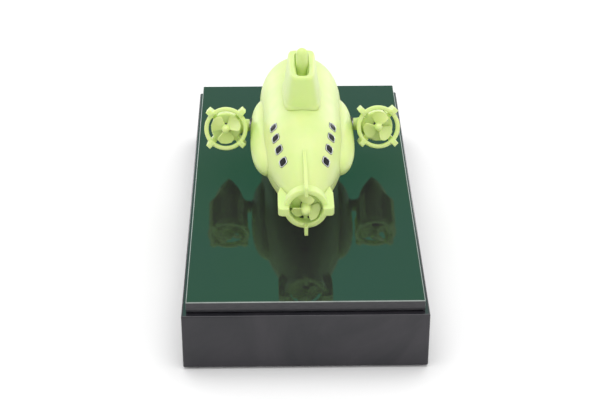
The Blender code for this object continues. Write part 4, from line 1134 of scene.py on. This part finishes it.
def make_cover_screws():
    low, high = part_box("cover_screw_stern_port")
    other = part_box("cover_screw_bow_starboard")
    middle = (low + high) / 2
    head = (high.x - low.x) / 2
    dish = [(0.0, 1.2 * MM), (head, 1.2 * MM), (head, 0.35 * MM), (0.8 * head, 0.05 * MM),
            (0.0, 0.0)]
    screw = lathe(dish, SCREW_FACETS, STEEL)
    slot_size = Vector((1.5 * head, 0.3 * head, SLOT_DEPTH))
    for turn in (0.0, math.pi / 2):
        cross = moved(box_mesh(-slot_size / 2, slot_size / 2), Matrix.Rotation(turn, 4, "Z"))
        screw = cut_by(screw, cross)
    spread = (other[0] + other[1]) / 2 - middle
    screws = grow(FOUR_CORNERS, screw, Spread_X=spread.x, Spread_Y=spread.y, Material=STEEL)
    piece("cover_screw_heads", screws, "display_base", STEEL,
          [node for node in frame["nodes"] if node.startswith("cover_screw")],
          Matrix.Translation((0, 0, low.z)), SMALL_CREASE)


def make_feet():
    low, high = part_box("base_foot_stern_port")
    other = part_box("base_foot_bow_starboard")
    radius = (high.x - low.x) / 2
    thickness = high.z - low.z
    pad = [(0.0, thickness), (radius, thickness), (radius, GROOVE_DEPTH),
           (radius - GROOVE_DEPTH, 0.0)]
    for groove in FOOT_GROOVES:
        edge = radius * groove
        pad += [(edge + GROOVE_MOUTH, 0.0), (edge + GROOVE_FLOOR, GROOVE_DEPTH),
                (edge - GROOVE_FLOOR, GROOVE_DEPTH), (edge - GROOVE_MOUTH, 0.0)]
    pad.append((0.0, 0.0))
    spread = (other[0] + other[1]) / 2 - (low + high) / 2
    feet = grow(FOUR_CORNERS, lathe(pad, HUB_FACETS, RUBBER), Spread_X=spread.x,
                Spread_Y=spread.y, Material=RUBBER)
    piece("base_foot_pads", feet, "display_base", RUBBER,
          [node for node in frame["nodes"] if node.startswith("base_foot")],
          crease=SMALL_CREASE)


def coat_inner_pieces():
    """Finishes for the CAD nodes that keep their own shape."""
    by_slot = {"black_plastic": BLACK_MOULDING, "black_rubber": RUBBER, "bright_steel": STEEL,
               "foil_wrap": FOIL, "board_laminate": BOARD, "brass": BRASS, "lime_plastic": LIME,
               "gloss_black": LACQUER, "green_gloss": MIRROR, "dark_pane": PANE}
    for part in frame["record"]["subparts"]:
        node = frame["nodes"][part["node"]]
        node.data.materials.clear()
        node.data.materials.append(by_slot[part["material_slot"]])


# ============================================================ stage
def make_stage():
    shape = bmesh.new()
    bmesh.ops.create_grid(shape, x_segments=2, y_segments=2, size=FLOOR_HALF_WIDTH)
    paper = mesh_of(shape, "paper")
    floor = linked("studio_floor", paper)
    paper.materials.append(studio_paper())
    floor.location.z = -FLOOR_DROP

    world = bpy.data.worlds.new("soft_tent")
    bpy.context.scene.world = world
    world.use_nodes = True
    sky = world.node_tree.nodes["Background"]
    sky.inputs["Color"].default_value = (1.0, 1.0, 1.0, 1.0)
    sky.inputs["Strength"].default_value = SKY_STRENGTH

    aim = Vector(LIGHTS_AIM)
    for name, position, width, height, power in (
            ("overhead_softbox", (0.0, 0.10, 1.15), 1.1, 1.1, 6.0),
            ("low_fill", (0.25, -1.10, 0.35), 0.7, 0.7, 0.8),
            ("port_strip", (-0.60, 1.05, 0.26), 0.22, 0.60, 1.1),
            ("starboard_strip", (0.60, 1.05, 0.26), 0.22, 0.60, 1.1)):
        lamp = bpy.data.lights.new(name, "AREA")
        lamp.shape = "RECTANGLE"
        lamp.size = width
        lamp.size_y = height
        lamp.energy = power
        light = linked(name, lamp)
        light.location = position
        light.rotation_euler = (aim - Vector(position)).to_track_quat("-Z", "Y").to_euler()

    card = linked("green_card", box_mesh((-0.30, 1.30, 0.55), (0.30, 1.31, 1.04)))
    card.data.materials.append(finish(
        "green_card", (0.0, 0.0, 0.0), 1.0, Specular_IOR_Level=0.0,
        Emission_Color=(0.26, 0.92, 0.67, 1.0), Emission_Strength=1.0))
    card.visible_camera = False
    card.visible_diffuse = False

    bpy.context.scene.view_settings.view_transform = "Standard"
    bpy.context.scene.view_settings.look = "None"


def make_camera():
    lens = bpy.data.cameras.new("camera")
    lens.lens = LENS
    lens.sensor_width = SENSOR
    lens.clip_start = 0.01
    camera = linked("camera", lens)
    ahead = Vector(CAMERA_AHEAD).normalized()
    right = ahead.cross(Vector((0, 0, 1))).normalized()
    upwards = right.cross(ahead)
    axes = Matrix((right, upwards, -ahead)).transposed().to_4x4()
    camera.matrix_world = Matrix.Translation(CAMERA_PLACE) @ axes
    bpy.context.scene.camera = camera


make_camera()
coat_inner_pieces()
make_hull()
make_tanks()
make_windows()
make_tower()
make_periscope()
make_nozzle()
make_propellers()
make_pods()
make_base()
make_cover_screws()
make_feet()
make_stage()
